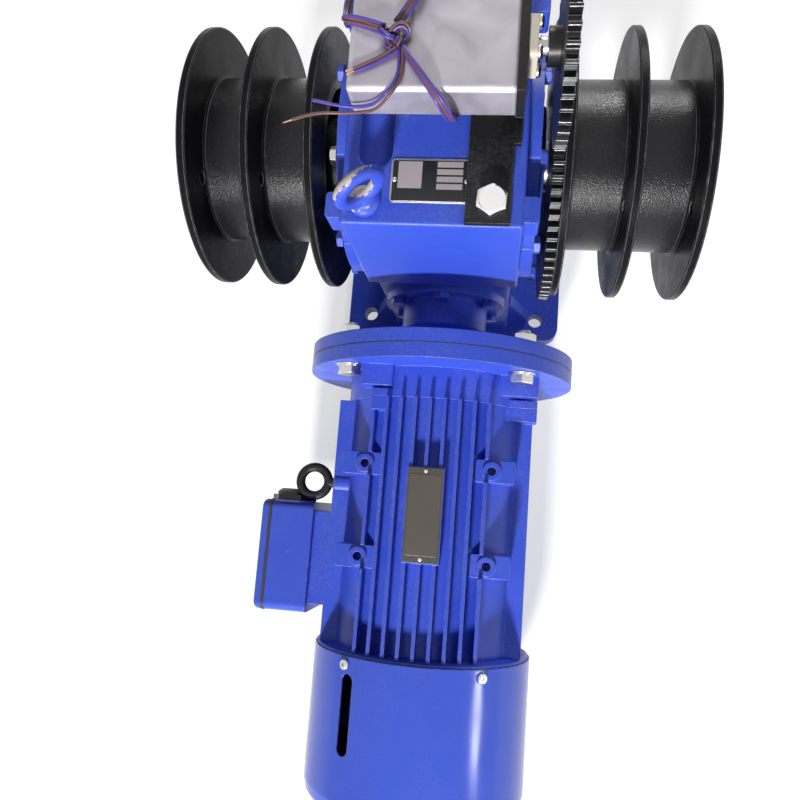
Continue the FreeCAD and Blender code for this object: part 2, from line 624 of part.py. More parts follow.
far_side = -(d.output_bearing_x + d.output_bearing_width)
node("output_bearings", group([
    bearing("x", low, d.output_bearing_width, d.shaft_radius + d.running_gap,
            seat_of(d.output_bearing_radius), d.axis_height)
    for low in (far_side, d.output_bearing_x)]))
seal_x = d.case_half_width + d.side_boss_reach - d.seal_width
node("output_seals", group([
    bearing("x", low, d.seal_width, d.shaft_radius + d.running_gap, seat_of(d.seal_radius),
            d.axis_height)
    for low in (-(seal_x + d.seal_width), seal_x)]))
node("worm_bearings", group([
    bearing("y", low, d.worm_bearing_width, d.worm_seat_radius + d.running_gap,
            seat_of(d.worm_bore_radius), worm_z)
    for low in (-bearing_far, d.worm_bearing_y)]))
node("motor_bearings", group([
    bearing("y", -(start_y + d.motor_bearing_width), d.motor_bearing_width, bore + d.running_gap,
            seat_of(radius), worm_z)
    for start_y, bore, radius in (
        (d.front_bearing_y, d.front_bearing_bore, d.front_bearing_radius),
        (d.rear_bearing_y, d.rear_bearing_bore, d.rear_bearing_radius))]))

# Gearbox casting
case_x = (-d.case_half_width, d.case_half_width)
case_y = (-d.case_half_length, d.case_half_length)
upper = rounded(box(case_x, case_y, (d.axis_height - d.panel_drop, case_top_z)), d.case_round,
                lambda edge: runs_along("z")(edge) or edge.BoundBox.ZMin > float(case_top_z) - 1)
wheel_case = rod((-d.case_half_width, 0, d.axis_height), "+x", d.wheel_case_radius, d.case_half_width * 2)
lower_x = (-d.lower_half_width, d.lower_half_width)
lower_y = (-d.lower_half_length, d.lower_half_length)
lower_z = (d.foot_thickness / 2, d.axis_height - d.panel_drop + 10)
lower = rounded(box(lower_x, lower_y, lower_z), d.case_round, runs_along("z"))
foot_x = (-d.foot_half_width, d.foot_half_width)
foot_y = (-d.foot_half_length, d.foot_half_length)
feet = rounded(box(foot_x, foot_y, (0, d.foot_thickness)), d.foot_corner, runs_along("z"))
tunnel = rod((0, -d.lower_half_length, worm_z), "+y", d.tunnel_cover_radius, d.lower_half_length * 2)
castings = [upper, wheel_case, lower, feet, tunnel]
for sx in (-1, 1):
    for sy in (-1, 1):
        lug_x = sorted((d.case_half_width * sx - 2 * sx, (d.case_half_width + d.lug_reach) * sx), key=float)
        lug_y = sorted((d.lug_front * sy, (d.lug_front - d.lug_length) * sy), key=float)
        castings.append(rounded(box(lug_x, lug_y, (case_top_z - d.lug_height, case_top_z - 2)), 3,
                                runs_along("z")))
        rib_y = (d.lower_half_length - d.foot_rib_thickness) * sy
        rib_span = sorted((rib_y, rib_y - d.foot_rib_thickness * sy), key=float)
        rib = doc.addObject("Part::Wedge", "FootRib")
        inner_x, outer_x = d.lower_half_width - 2, d.foot_half_width - 34
        low, high = sorted((inner_x * sx, outer_x * sx), key=float)
        top_low, top_high = sorted((inner_x * sx, (inner_x + 4) * sx), key=float)
        for prop, value in (("Xmin", low), ("Xmax", high), ("X2min", top_low), ("X2max", top_high),
                            ("Ymin", d.foot_thickness - 1), ("Ymax", d.foot_thickness + d.foot_rib_height),
                            ("Zmin", -rib_span[1]), ("Zmax", -rib_span[0]),
                            ("Z2min", -rib_span[1]), ("Z2max", -rib_span[0])):
            bind(rib, prop, value)
        rib.Placement = Placement(Vector(), Rotation(Vector(1, 0, 0), 90))
        castings.append(rib)
solid_case = join(castings)
cavities = [
    rod((-d.case_half_width, 0, d.axis_height), "+x", d.wheel_cavity_radius, d.case_half_width * 2),
    rod((0, -d.lower_half_length, worm_z), "+y", d.worm_bore_radius, d.lower_half_length * 2),
]
for sx in (-1, 1):
    x_low, x_high = sorted((d.valley_inner * sx, d.valley_outer * sx), key=float)
    radius = (d.valley_outer - d.valley_inner) / 2
    middle = (x_low + x_high) / 2
    reach = d.valley_half_length - radius
    floor = case_top_z - d.valley_depth
    cavities.append(box((x_low, x_high), (-reach, reach), (floor, case_top_z + 1)))
    cavities += [rod((middle, y, floor), "+z", radius, d.valley_depth + 1) for y in (-reach, reach)]
    for sy in (-1, 1):
        cavities.append(rod((d.foot_hole_x * sx, d.foot_hole_y * sy, -1), "+z", d.foot_hole_radius,
                            d.foot_thickness + 2))
for y in (-d.bracket_bolt_front, d.bracket_bolt_rear):
    cavities.append(rod((d.bracket_bolt_x, y, case_top_z), "-z", d.bracket_bolt_radius,
                        d.bracket_bolt_depth + 2))
cavities.append(rod((-d.eye_x, -d.eye_y, case_top_z), "-z", d.eye_shank_radius, d.eye_shank + 1))
cavities.append(rod((0, d.vent_y, case_top_z), "-z", d.plug_radius, d.case_top))
cavities.append(rod((0, d.lower_half_length, d.drain_height), "-y", d.plug_radius, d.plug_radius * 2))
side_screw_places = [(y, z) for y, z, _ in on_circle(d.side_screw_count, d.side_screw_circle, 22.5)]
for y, z in side_screw_places:
    for x, aim in ((-d.case_half_width, "+x"), (d.case_half_width, "-x")):
        cavities.append(rod((x, y, d.axis_height + z), aim, d.eight_radius, d.eight_depth + 1))
tunnel_screw_places = [(x, z) for x, z, _ in on_circle(d.tunnel_screw_count, d.tunnel_screw_circle, 30)]
for x, z in tunnel_screw_places:
    for y, aim in ((-d.lower_half_length, "+y"), (d.lower_half_length, "-y")):
        cavities.append(rod((x, y, worm_z + z), aim, d.eight_radius, d.eight_depth + 1))
node("gearbox_housing", cut(solid_case, cavities))

# Side covers carry the output bearings and seals
m8_screws = []
m5_screws = []
cover_face = d.case_half_width + d.side_cover_thickness
boss_end = d.case_half_width + d.side_boss_reach
spigot_end = d.case_half_width - d.side_spigot_length
bearing_end = d.output_bearing_x + d.output_bearing_width
side_covers = []
for sign in (-1, 1):
    boss = d.output_bearing_radius + d.bearing_boss_wall
    profile = [
        (d.output_bearing_x, d.output_bearing_radius), (bearing_end, d.output_bearing_radius),
        (bearing_end, d.seal_radius), (boss_end, d.seal_radius), (boss_end, d.side_boss_radius),
        (cover_face, d.side_boss_radius + 3), (cover_face, d.side_cover_radius),
        (d.case_half_width, d.side_cover_radius), (d.case_half_width, seat_of(d.wheel_cavity_radius)),
        (spigot_end, seat_of(d.wheel_cavity_radius)), (spigot_end, boss), (d.output_bearing_x, boss),
    ]
    cover = turned("x", [(x * sign, r) for x, r in profile], (0, 0, d.axis_height))
    aim, inward = ("+x", "-x") if sign > 0 else ("-x", "+x")
    holes = []
    for y, z in side_screw_places:
        holes.append(rod((cover_face * sign, y, d.axis_height + z), inward, d.eight_radius + d.part_gap,
                         d.side_cover_thickness))
        m8_screws.append(hex_screw(
            (cover_face * sign, y, d.axis_height + z), aim, d.eight_radius - d.seat_gap, d.eight_flat,
            d.eight_head, d.side_cover_thickness + d.eight_depth))
    side_covers.append(cut(cover, holes))
node("side_covers", group(side_covers))

# Worm tunnel: the rear cover, and the input bell with its round motor flange
cover_out = d.lower_half_length + d.tunnel_cover_thickness
spigot_in = d.lower_half_length - d.tunnel_spigot_length
profile = [
    (-spigot_in, 0), (-cover_out, 0), (-cover_out, d.tunnel_cover_radius - 4),
    (4 - cover_out, d.tunnel_cover_radius), (-d.lower_half_length, d.tunnel_cover_radius),
    (-d.lower_half_length, seat_of(d.worm_bore_radius)), (-spigot_in, seat_of(d.worm_bore_radius)),
]
rear = motor_turned(profile)
profile = [
    (spigot_in, d.worm_seat_radius + 1.5), (cover_out, d.worm_seat_radius + 1.5),
    (cover_out, d.bell_cavity_radius), (d.bell_cavity_end, d.bell_cavity_radius),
    (d.flange_seam_y - d.spigot_length - d.part_gap, 60),
    (d.flange_seam_y - d.spigot_length - d.part_gap, d.spigot_radius + d.seat_gap),
    (d.flange_seam_y, d.spigot_radius + d.seat_gap), (d.flange_seam_y, d.flange_radius),
    (d.adapter_flange_y, d.flange_radius), (d.adapter_flange_y, d.cone_radius),
    (d.neck_end, d.neck_radius), (cover_out, d.neck_radius), (cover_out, d.tunnel_cover_radius),
    (d.lower_half_length, d.tunnel_cover_radius), (d.lower_half_length, seat_of(d.worm_bore_radius)),
    (spigot_in, seat_of(d.worm_bore_radius)),
]
bell = motor_turned(profile)
ends = (("worm_end_cover", rear, 1, "+y", "-y"), ("input_bell", bell, -1, "-y", "+y"))
for label, piece, sign, aim, inward in ends:
    holes = []
    for x, z in tunnel_screw_places:
        place = (x, cover_out * sign, worm_z + z)
        holes.append(rod(place, inward, d.eight_radius + d.part_gap, d.tunnel_cover_thickness))
        m8_screws.append(hex_screw(place, aim, d.eight_radius - d.seat_gap, d.eight_flat, d.eight_head,
                                   d.tunnel_cover_thickness + d.eight_depth))
    if label == "input_bell":
        for x, z, _ in on_circle(4, d.flange_bolt_circle, 45):
            holes.append(rod((x, -d.flange_seam_y, worm_z + z), "+y", d.flange_hole_radius, 20))
    node(label, cut(piece, holes))

# Motor flange bolts: hexagon heads on the motor side, nuts behind the bell's flange
bolts = []
for x, z, _ in on_circle(4, d.flange_bolt_circle, 45):
    head_y = -(d.shield_flange_y + d.washer_thickness)
    washer = rod((x, -d.shield_flange_y, worm_z + z), "-y", d.twelve_washer, d.washer_thickness)
    nut_y = -d.adapter_flange_y
    grip = d.shield_flange_y + d.washer_thickness - d.adapter_flange_y
    bolts.append(join([
        hexagon((x, head_y, worm_z + z), "-y", d.twelve_flat, d.twelve_head), washer,
        rod((x, head_y, worm_z + z), "+y", d.flange_bolt_radius, grip + d.twelve_head + 5),
        hexagon((x, nut_y, worm_z + z), "+y", d.twelve_flat, d.twelve_head + 2)]))
node("flange_bolts", group(bolts))
bolts = []
for sign, aim in ((-1, "-x"), (1, "+x")):
    face = (d.drum_hub_end + d.end_plate_thickness) * sign
    bolts.append(hex_screw((face, 0, d.axis_height), aim, d.flange_bolt_radius - d.seat_gap, d.twelve_flat,
                           d.twelve_head, d.end_plate_thickness + 30))
node("drum_end_bolts", group(bolts))

# Oil plugs: the vent on top and the drain at the back, in the same thread
plugs = []
for place, aim in (((0, d.vent_y, case_top_z), "+z"), ((0, d.lower_half_length, d.drain_height), "+y")):
    plugs.append(hex_screw(place, aim, d.plug_radius - d.seat_gap, d.plug_flat, d.plug_head,
                           d.plug_radius * 2 - 2))
node("oil_plugs", group(plugs))

# Lifting eye on the casting's left front corner
eye_place = (-d.eye_x, -d.eye_y, case_top_z)
ring_z = case_top_z + d.eye_collar + d.eye_ring + d.eye_wire - 2
eye_normal = Rotation(Vector(0, 0, 1), float(d.eye_turn)).multiply(AIM["-y"])
node("lifting_eye", join([
    rod(eye_place, "+z", d.eye_collar_radius, d.eye_collar),
    rod(eye_place, "-z", d.eye_shank_radius - d.seat_gap, d.eye_shank),
    ring((-d.eye_x, -d.eye_y, ring_z), eye_normal, d.eye_ring, d.eye_wire)]))

# Limit switch bracket, standing on the casting's right edge
leg_top = case_top_z + d.bracket_leg
leg = join([
    box((d.bracket_left_x, d.bracket_front_right_x), (-d.bracket_front_y, 1 - d.bracket_wide_y),
        (case_top_z, leg_top)),
    box((d.bracket_left_x, bracket_outer_x), (-d.bracket_wide_y, d.bracket_rear_y),
        (case_top_z, leg_top)),
    box((d.bracket_inner_x, bracket_outer_x), (-d.bracket_neck_front, d.bracket_neck_rear),
        (case_top_z, box_bottom_z + 1)),
    box((d.bracket_inner_x, bracket_outer_x), (-d.bracket_half_length, d.bracket_half_length),
        (box_bottom_z, bracket_top_z)),
])
holes = [rod((d.bracket_bolt_x, y, case_top_z), "+z", d.bracket_bolt_radius + 0.5, d.bracket_leg)
         for y in (-d.bracket_bolt_front, d.bracket_bolt_rear)]
bracket_hole = (d.bracket_inner_x, 0, limit_z)
guide_hole = (d.bracket_inner_x, -d.guide_rod_y, limit_z)
holes.append(rod(bracket_hole, "+x", d.bearing_boss_radius + d.seat_gap, d.bracket_plate))
holes.append(rod(guide_hole, "+x", d.guide_rod_radius + d.seat_gap, d.bracket_plate))
block_places = [(y, z) for y in (-d.block_bolt, d.block_bolt)
                for z in (limit_z - d.block_bolt, limit_z + d.block_bolt)]
holes += [rod((d.bracket_inner_x, y, z), "+x", d.five_radius, d.bracket_plate) for y, z in block_places]
node("limit_bracket", cut(leg, holes))
node("bracket_bolts", group([
    hex_screw((d.bracket_bolt_x, y, leg_top), "+z", d.bracket_bolt_radius - d.seat_gap, d.bracket_bolt_flat,
              d.bracket_bolt_head, d.bracket_leg + d.bracket_bolt_depth)
    for y in (-d.bracket_bolt_front, d.bracket_bolt_rear)]))

# Limit shaft bearing block with its four screws
block_end = bracket_outer_x + d.bearing_block_plate
half_block = d.bearing_block / 2
block = rounded(box((bracket_outer_x, block_end), (-half_block, half_block),
                    (limit_z - half_block, limit_z + half_block)), 4, runs_along("x"))
boss = rod(bracket_hole, "+x", d.bearing_boss_radius, d.bracket_plate + 1)
holes = [rod(bracket_hole, "+x", d.limit_shaft_radius + d.running_gap,
             d.bracket_plate + d.bearing_block_plate)]
holes += [rod((bracket_outer_x, y, z), "+x", d.five_radius + d.part_gap, d.bearing_block_plate)
          for y, z in block_places]
node("limit_bearing", cut(join([block, boss]), holes))


def pan_screw(place, aim):
    """A pan-head M5 screw whose head stands on the place."""
    rotation = facing(aim)
    back = rotation.multiply(Rotation(Vector(1, 0, 0), 180))
    return join([rod(place, rotation, d.five_head_radius, d.five_head),
                 rod(place, back, d.five_radius - d.seat_gap, d.five_depth)])


for y, z in block_places:
    m5_screws.append(pan_screw((block_end, y, z), "+x"))

# Limit shaft: lead screw inside the box, plain journal through the block to the gear
shaft_right = limit_gear_x + d.gear_width
profile = [
    (-d.lead_screw_left, 0), (-d.lead_screw_left, d.lead_screw_radius),
    (d.bracket_inner_x - 2, d.lead_screw_radius), (d.bracket_inner_x - 2, d.limit_shaft_radius),
    (shaft_right, d.limit_shaft_radius), (shaft_right, 0),
]
node("limit_shaft", turned("x", profile, (0, 0, limit_z)))

# Limit switch base tray, bush and guide rod
tray_left = d.limit_box_left - d.sheet - d.cover_gap
tray_half = d.limit_box_half - d.sheet - d.cover_gap
tray = join([
    box((-tray_left, d.bracket_inner_x - d.part_gap), (-tray_half, tray_half),
        (base_top_z - d.base_plate, base_top_z)),
    box((-tray_left, d.base_wall - tray_left), (-tray_half, tray_half),
        (base_top_z - d.base_plate, box_top_z - d.sheet - d.cover_gap)),
])
holes = [rod((-tray_left, 0, limit_z), "+x", d.bush_radius + d.seat_gap, d.base_wall),
         rod((-tray_left, -d.guide_rod_y, limit_z), "+x", d.guide_rod_radius + d.seat_gap, d.base_wall)]
node("limit_tray", cut(tray, holes))
bush = rod((-tray_left, 0, limit_z), "+x", d.bush_radius, d.bush_length)
bush_bore = rod((-tray_left, 0, limit_z), "+x", d.lead_screw_radius + d.running_gap, d.bush_length)
node("limit_bush", cut(bush, [bush_bore]))
node("guide_rod", rod((-tray_left, -d.guide_rod_y, limit_z), "+x", d.guide_rod_radius,
                      tray_left + bracket_outer_x))

# Limit switch cover: a bent sheet box, open below and on the bracket side
shell = rounded(box((-d.limit_box_left, d.bracket_inner_x), (-d.limit_box_half, d.limit_box_half),
                    (box_bottom_z, box_top_z)), d.sheet_bend,
                lambda edge: edge.BoundBox.XMax < float(d.bracket_inner_x) - 1e-3 and runs_along("z")(edge)
                or edge.BoundBox.ZMin > float(box_top_z) - 1e-3 and not (
                    runs_along("y")(edge) and edge.BoundBox.XMin > 0))
hollow = box((d.sheet - d.limit_box_left, d.bracket_inner_x + 1),
             (d.sheet - d.limit_box_half, d.limit_box_half - d.sheet),
             (box_bottom_z - 1, box_top_z - d.sheet))
node("limit_cover", cut(shell, [hollow]))

# Travelling nut, the two microswitches and their plungers
nut = box((-d.nut_half_length, d.nut_half_length), (-d.nut_front, d.nut_rear),
          (limit_z - d.nut_half_height, limit_z + d.nut_half_height))
nut_length = d.nut_half_length * 2
holes = [rod((-d.nut_half_length, 0, limit_z), "+x", d.lead_screw_radius + d.running_gap, nut_length),
         rod((-d.nut_half_length, -d.guide_rod_y, limit_z), "+x", d.guide_rod_radius + d.running_gap,
             nut_length)]
node("travelling_nut", cut(nut, holes))
tip_x = d.nut_half_length + d.nut_travel + d.part_gap
switches = []
for side, sign, aim in (("left", -1, "-x"), ("right", 1, "+x")):
    face = (tip_x + d.plunger_reach) * sign
    back = (tip_x + d.plunger_reach + d.switch_length) * sign
    body = box(sorted((face, back), key=float),
               (d.switch_y - d.switch_width / 2, d.switch_y + d.switch_width / 2),
               (base_top_z, base_top_z + d.switch_height))
    length = d.plunger_reach + d.plunger_depth
    bore = rod((face, d.switch_y, limit_z), aim, d.plunger_radius + d.running_gap, length)
    switches.append(cut(body, [bore]))
    node("plunger_" + side, rod((tip_x * sign, d.switch_y, limit_z), aim, d.plunger_radius, length))
node("microswitches", group(switches))

# Motor drive-end shield with its round flange and a stepped ear on each corner
bearing_bottom = d.front_bearing_y + d.motor_bearing_width
register_end = d.frame_start + d.register_length
shaft_hole = d.motor_shaft_radius + 1.5
profile = [
    (d.flange_seam_y - d.spigot_length, shaft_hole), (d.front_bearing_y, shaft_hole),
    (d.front_bearing_y, d.front_bearing_radius), (bearing_bottom, d.front_bearing_radius),
    (bearing_bottom, d.frame_bore - 10), (register_end, d.frame_bore - 10),
    (register_end, seat_of(d.frame_bore)), (d.frame_start, seat_of(d.frame_bore)),
    (d.frame_start, bell_radius), (d.shield_flange_y, bell_radius),
    (d.shield_flange_y, d.flange_radius), (d.flange_seam_y, d.flange_radius),
    (d.flange_seam_y, d.spigot_radius), (d.flange_seam_y - d.spigot_length, d.spigot_radius),
]
corners = [(sx, sz) for sx in (-1, 1) for sz in (-1, 1)]


def ear(sx, sz, across, reach, span):
    """A block on one corner of the motor, along a span of Y: it stands up on the left, out on the right."""
    width, height = (d.ear_inner, across), (d.ear_root, reach)
    x_ends, z_ends = (width, height) if sx < 0 else (height, width)
    x = sorted((x_ends[0] * sx, x_ends[1] * sx), key=float)
    z = sorted((worm_z + z_ends[0] * sz, worm_z + z_ends[1] * sz), key=float)
    return rounded(box(x, span, z), d.ear_round, runs_along("y"))


shield = [motor_turned(profile)]
side_ear_reach = bell_radius + d.ear_side_rise
for sx, sz in corners:
    wide_reach = bell_radius if sx < 0 else side_ear_reach
    narrow_reach = frame_radius - d.ear_drop if sx < 0 else side_ear_reach
    shield.append(ear(sx, sz, d.ear_wide, wide_reach, (-d.ear_step_y, 4 - d.shield_flange_y)))
    shield.append(ear(sx, sz, d.ear_narrow, narrow_reach, (-d.frame_start, -(d.ear_step_y + d.ear_slot))))
holes = [rod((0, 4 - d.flange_seam_y, worm_z), "-y", shaft_hole, 18)]
for x, z, _ in on_circle(4, d.flange_bolt_circle, 45):
    holes.append(rod((x, -d.flange_seam_y, worm_z + z), "-y", d.flange_hole_radius,
                     d.shield_flange_y - d.flange_seam_y))
node("drive_end_shield", cut(join(shield), holes))

# Motor frame: a tube with upright fins above and below and level fins on its sides
frame_y = (-d.frame_end, -d.frame_start)
tube = motor_turned([
    (d.frame_start, d.frame_bore), (d.frame_end, d.frame_bore), (d.frame_end, frame_radius),
    (d.frame_start, frame_radius)])
fins = [tube]
half_fin = d.fin_thickness / 2
half_pad = d.pad_length / 2
between_pads = [
    (half_pad - d.pad_front_y, -d.frame_start), (half_pad - d.pad_rear_y, -(d.pad_front_y + half_pad)),
    (-d.frame_end, -(d.pad_rear_y + half_pad)),
]
for k in range(-4, 5):
    offset = d.fin_pitch * k
    across = (offset - half_fin, offset + half_fin)
    tall = math.sqrt(float(fin_reach) ** 2 - float(offset) ** 2) / float(fin_reach)
    wall_middle = (d.frame_bore + frame_radius) / 2
    edge = abs(float(offset)) + float(half_fin)
    root = wall_middle * (math.sqrt(float(wall_middle) ** 2 - edge ** 2) / float(wall_middle))
    for sign in (-1, 1):
        up = sorted((worm_z + root * sign, worm_z + fin_reach * tall * sign), key=float)
        fins += [box(across, span, up) for span in (between_pads if abs(k) == 4 else [frame_y])]
        if abs(k) < 4:
            out = sorted((root * sign, side_reach * sign), key=float)
            fins.append(box(out, frame_y, (worm_z + across[0], worm_z + across[1])))
fins.append(box((-d.plate_pad_left, d.plate_pad_right), (-d.plate_pad_rear, -d.plate_pad_front),
                (worm_z + frame_radius - d.plate_pad_sink, worm_z + fin_reach + d.plate_pad_rise)))

# Flat pads for screwed-on feet on the four corners, each in a break of the outermost fin
pad_holes = []
for sx, sz in corners:
    outward, inward = ("+z", "-z") if sz > 0 else ("-z", "+z")
    pad_x = sorted((d.pad_inner * sx, d.pad_outer * sx), key=float)
    pad_face = worm_z + pad_height * sz
    pad_z = sorted((worm_z + d.pad_root * sz, pad_face), key=float)
    ear_reach = frame_radius - d.ear_drop if sx < 0 else side_ear_reach
    fins.append(ear(sx, sz, d.ear_narrow, ear_reach, (-d.ear_end_y, -d.frame_start)))
    for pad_y in (d.pad_front_y, d.pad_rear_y):
        span = (-pad_y - half_pad, half_pad - pad_y)
        fins.append(rounded(box(pad_x, span, pad_z), d.pad_round, runs_along("z")))
        boss_place = (d.pad_hole_x * sx, -pad_y, worm_z + (pad_height - 1) * sz)
        fins.append(rod(boss_place, outward, d.pad_boss_radius, d.pad_boss_height + 1))
        hole_place = (d.pad_hole_x * sx, -pad_y, worm_z + (pad_height + d.pad_boss_height) * sz)
        pad_holes.append(rod(hole_place, inward, d.pad_hole_radius, d.pad_hole_depth))

# Boss for the motor's lifting eye and neck for the terminal box, both on the left side
eye_z = worm_z + d.motor_eye_rise
eye_boss_root = d.frame_bore - d.eye_boss_sink
fins.append(rod((-eye_boss_root, -d.motor_eye_y, eye_z), "-x", d.eye_boss_radius,
                eye_boss_end - eye_boss_root))
pad_holes.append(rod((-eye_boss_end, -d.motor_eye_y, eye_z), "+x", d.motor_eye_shank_radius,
                     d.motor_eye_shank + 1))
neck_y = (d.neck_inset - d.box_rear_y, -d.box_front_y - d.neck_inset)
neck_half = d.box_half_height - d.neck_inset
fins.append(box((-d.box_inner_x, -(d.frame_bore - 8)), neck_y, (worm_z - neck_half, worm_z + neck_half)))
bore = rod((0, -d.frame_start, worm_z), "-y", d.frame_bore, d.frame_end - d.frame_start)
node("motor_frame", cut(join(fins), [bore] + pad_holes))

# Motor lifting eye, screwed into the frame's left side with its ring lying flat
eye_root = (-eye_boss_end, -d.motor_eye_y, eye_z)
node("motor_eye", join([
    rod(eye_root, "-x", d.motor_eye_collar_radius, d.motor_eye_collar),
    rod(eye_root, "+x", d.motor_eye_shank_radius - d.seat_gap, d.motor_eye_shank),
    ring((-(eye_boss_end + d.motor_eye_reach), -d.motor_eye_y, eye_z), Rotation(), d.motor_eye_ring,
         d.motor_eye_wire)]))

# Stator, rotor and motor shaft
coil_low, coil_high = d.core_start - d.winding_reach, d.core_end + d.winding_reach
stator_bore = d.rotor_radius + d.air_gap
winding_outer = d.frame_bore - d.winding_gap
node("stator", motor_turned([
    (d.core_start, stator_bore), (d.core_end, stator_bore), (d.core_end, d.winding_inner),
    (coil_high, d.winding_inner), (coil_high, winding_outer), (d.core_end, winding_outer),
    (d.core_end, seat_of(d.frame_bore)), (d.core_start, seat_of(d.frame_bore)),
    (d.core_start, winding_outer), (coil_low, winding_outer), (coil_low, d.winding_inner),
    (d.core_start, d.winding_inner)]))
node("rotor_core", motor_turned([
    (d.core_start, d.rotor_seat_radius + d.seat_gap), (d.core_end, d.rotor_seat_radius + d.seat_gap),
    (d.core_end, d.rotor_radius), (d.core_start, d.rotor_radius)]))
front_seat_end = d.front_bearing_y + d.motor_bearing_width
rear_seat_end = d.rear_bearing_y + d.motor_bearing_width
shaft_tip = d.flange_seam_y - d.motor_shaft_reach
node("motor_shaft", motor_turned([
    (shaft_tip, 0), (shaft_tip, d.motor_shaft_radius - 1), (shaft_tip + 1, d.motor_shaft_radius),
    (d.front_bearing_y - 1, d.motor_shaft_radius), (d.front_bearing_y - 1, d.front_bearing_bore),
    (front_seat_end + 2, d.front_bearing_bore),
    (front_seat_end + 2, d.rotor_seat_radius), (d.rear_bearing_y - 2, d.rotor_seat_radius),
    (d.rear_bearing_y - 2, d.rear_bearing_bore), (d.fan_start - 4, d.rear_bearing_bore),
    (d.fan_start - 4, d.fan_seat_radius), (d.shaft_tail, d.fan_seat_radius), (d.shaft_tail, 0)]))

# Rear end shield, brake and fan
register_start = d.frame_end - d.register_length
rear_shield = motor_turned([
    (register_start, d.rear_bearing_radius), (rear_seat_end, d.rear_bearing_radius),
    (rear_seat_end, d.rear_bearing_bore + 1.5), (d.rear_shield_end, d.rear_bearing_bore + 1.5),
    (d.rear_shield_end, d.rear_shield_radius), (d.cowl_start - 2, d.rear_shield_radius),
    (d.frame_end, fin_reach - 2), (d.frame_end, seat_of(d.frame_bore)),
    (register_start, seat_of(d.frame_bore))])
disc_low = d.rear_shield_end + d.brake_gap
disc_high = disc_low + d.brake_disc_thickness
node("brake_disc", motor_turned([
    (disc_low, d.rear_bearing_bore + d.seat_gap), (disc_high, d.rear_bearing_bore + d.seat_gap),
    (disc_high, d.brake_disc_radius), (disc_low, d.brake_disc_radius)]))
armature_low = disc_high + d.brake_gap
armature_high = armature_low + d.armature_thickness
node("brake_armature", motor_turned([
    (armature_low, d.coil_bore), (armature_high, d.coil_bore), (armature_high, d.armature_radius),
    (armature_low, d.armature_radius)]))
coil_low = armature_high + d.armature_travel + d.brake_gap
coil_high = coil_low + d.coil_length
coil = motor_turned([(coil_low, d.coil_bore), (coil_high, d.coil_bore), (coil_high, d.coil_radius - 2),
                     (coil_high - 2, d.coil_radius), (coil_low, d.coil_radius)])
holes = []
shield_holes = []
for x, z, _ in on_circle(3, d.brake_bolt_circle, 90):
    holes.append(rod((x, -coil_high, worm_z + z), "+y", d.eight_radius + d.part_gap, d.coil_length))
    shield_holes.append(rod((x, -d.rear_shield_end, worm_z + z), "+y", d.eight_radius, d.eight_depth + 1))
    m8_screws.append(hex_screw(
        (x, -coil_high, worm_z + z), "-y", d.eight_radius - d.seat_gap, d.eight_flat, d.eight_head,
        coil_high - d.rear_shield_end + d.eight_depth))
node("brake_coil", cut(coil, holes))
fan_plate = d.fan_start + d.fan_blade_thickness
fan = [motor_turned([
    (d.fan_start, d.fan_seat_radius), (d.fan_end, d.fan_seat_radius), (d.fan_end, d.fan_hub_radius),
    (fan_plate, d.fan_hub_radius), (fan_plate, d.fan_radius), (d.fan_start, d.fan_radius)])]
for _, _, angle in on_circle(d.fan_blades, as_size(1)):
    blade = doc.addObject("Part::Box", "FanBlade")
    bind(blade, "Length", d.fan_radius - d.fan_hub_radius + 2)
    bind(blade, "Width", d.fan_end - d.fan_start)
    bind(blade, "Height", d.fan_blade_thickness)
    turn = math.radians(angle)
    start = d.fan_hub_radius - 2
    put(blade, (start * math.cos(turn) + d.fan_blade_thickness / 2 * math.sin(turn), -d.fan_end,
                worm_z + start * math.sin(turn) - d.fan_blade_thickness / 2 * math.cos(turn)),
        Rotation(Vector(0, 1, 0), -angle))
    fan.append(blade)
fan_bore = rod((0, -d.fan_start, worm_z), "-y", d.fan_seat_radius + d.seat_gap, d.fan_end - d.fan_start)
node("fan", cut(join(fan), [fan_bore]))

# Fan cowl: a drawn shell with a rounded end, a grille and the brake release slot
quarter = [(math.sin(math.radians(t)), math.cos(math.radians(t))) for t in (0, 22.5, 45, 67.5, 90)]
outer_round = [(d.cowl_end - d.cowl_round + d.cowl_round * s, d.cowl_radius - d.cowl_round + d.cowl_round * c)
               for s, c in quarter]
inner_round = d.cowl_round - d.cowl_wall
inner_arc = [(d.cowl_end - d.cowl_round + inner_round * s, d.cowl_radius - d.cowl_round + inner_round * c)
             for s, c in quarter]
cowl_bore = d.cowl_radius - d.cowl_wall
profile = [(d.cowl_start, cowl_bore), (d.cowl_start, d.cowl_radius)] + outer_round + [
    (d.cowl_end, 0), (d.cowl_end - d.cowl_wall, 0)] + inner_arc[::-1]
cowl = motor_turned(profile)
holes = []
for _, _, angle in on_circle(d.grille_slots, as_size(1)):
    slot = doc.addObject("Part::Box", "GrilleSlot")
    bind(slot, "Length", d.grille_outer - d.grille_inner)
    bind(slot, "Width", d.cowl_wall + 2)
    bind(slot, "Height", d.grille_slot_width)
    turn = math.radians(angle)
    put(slot, (d.grille_inner * math.cos(turn) + d.grille_slot_width / 2 * math.sin(turn), -(d.cowl_end + 1),
               worm_z + d.grille_inner * math.sin(turn) - d.grille_slot_width / 2 * math.cos(turn)),
        Rotation(Vector(0, 1, 0), -angle))
    holes.append(slot)
lean = Rotation(Vector(0, 1, 0), -float(d.release_slot_angle))
slot_turn = math.radians(-float(d.release_slot_angle))
slot_radius = d.release_slot_width / 2
slot_floor = d.cowl_radius - 12
for y in (d.release_slot_start + slot_radius, d.release_slot_end - slot_radius):
    end_place = (slot_floor * math.sin(slot_turn), -y, worm_z + slot_floor * math.cos(slot_turn))
    holes.append(rod(end_place, lean, slot_radius, 20))
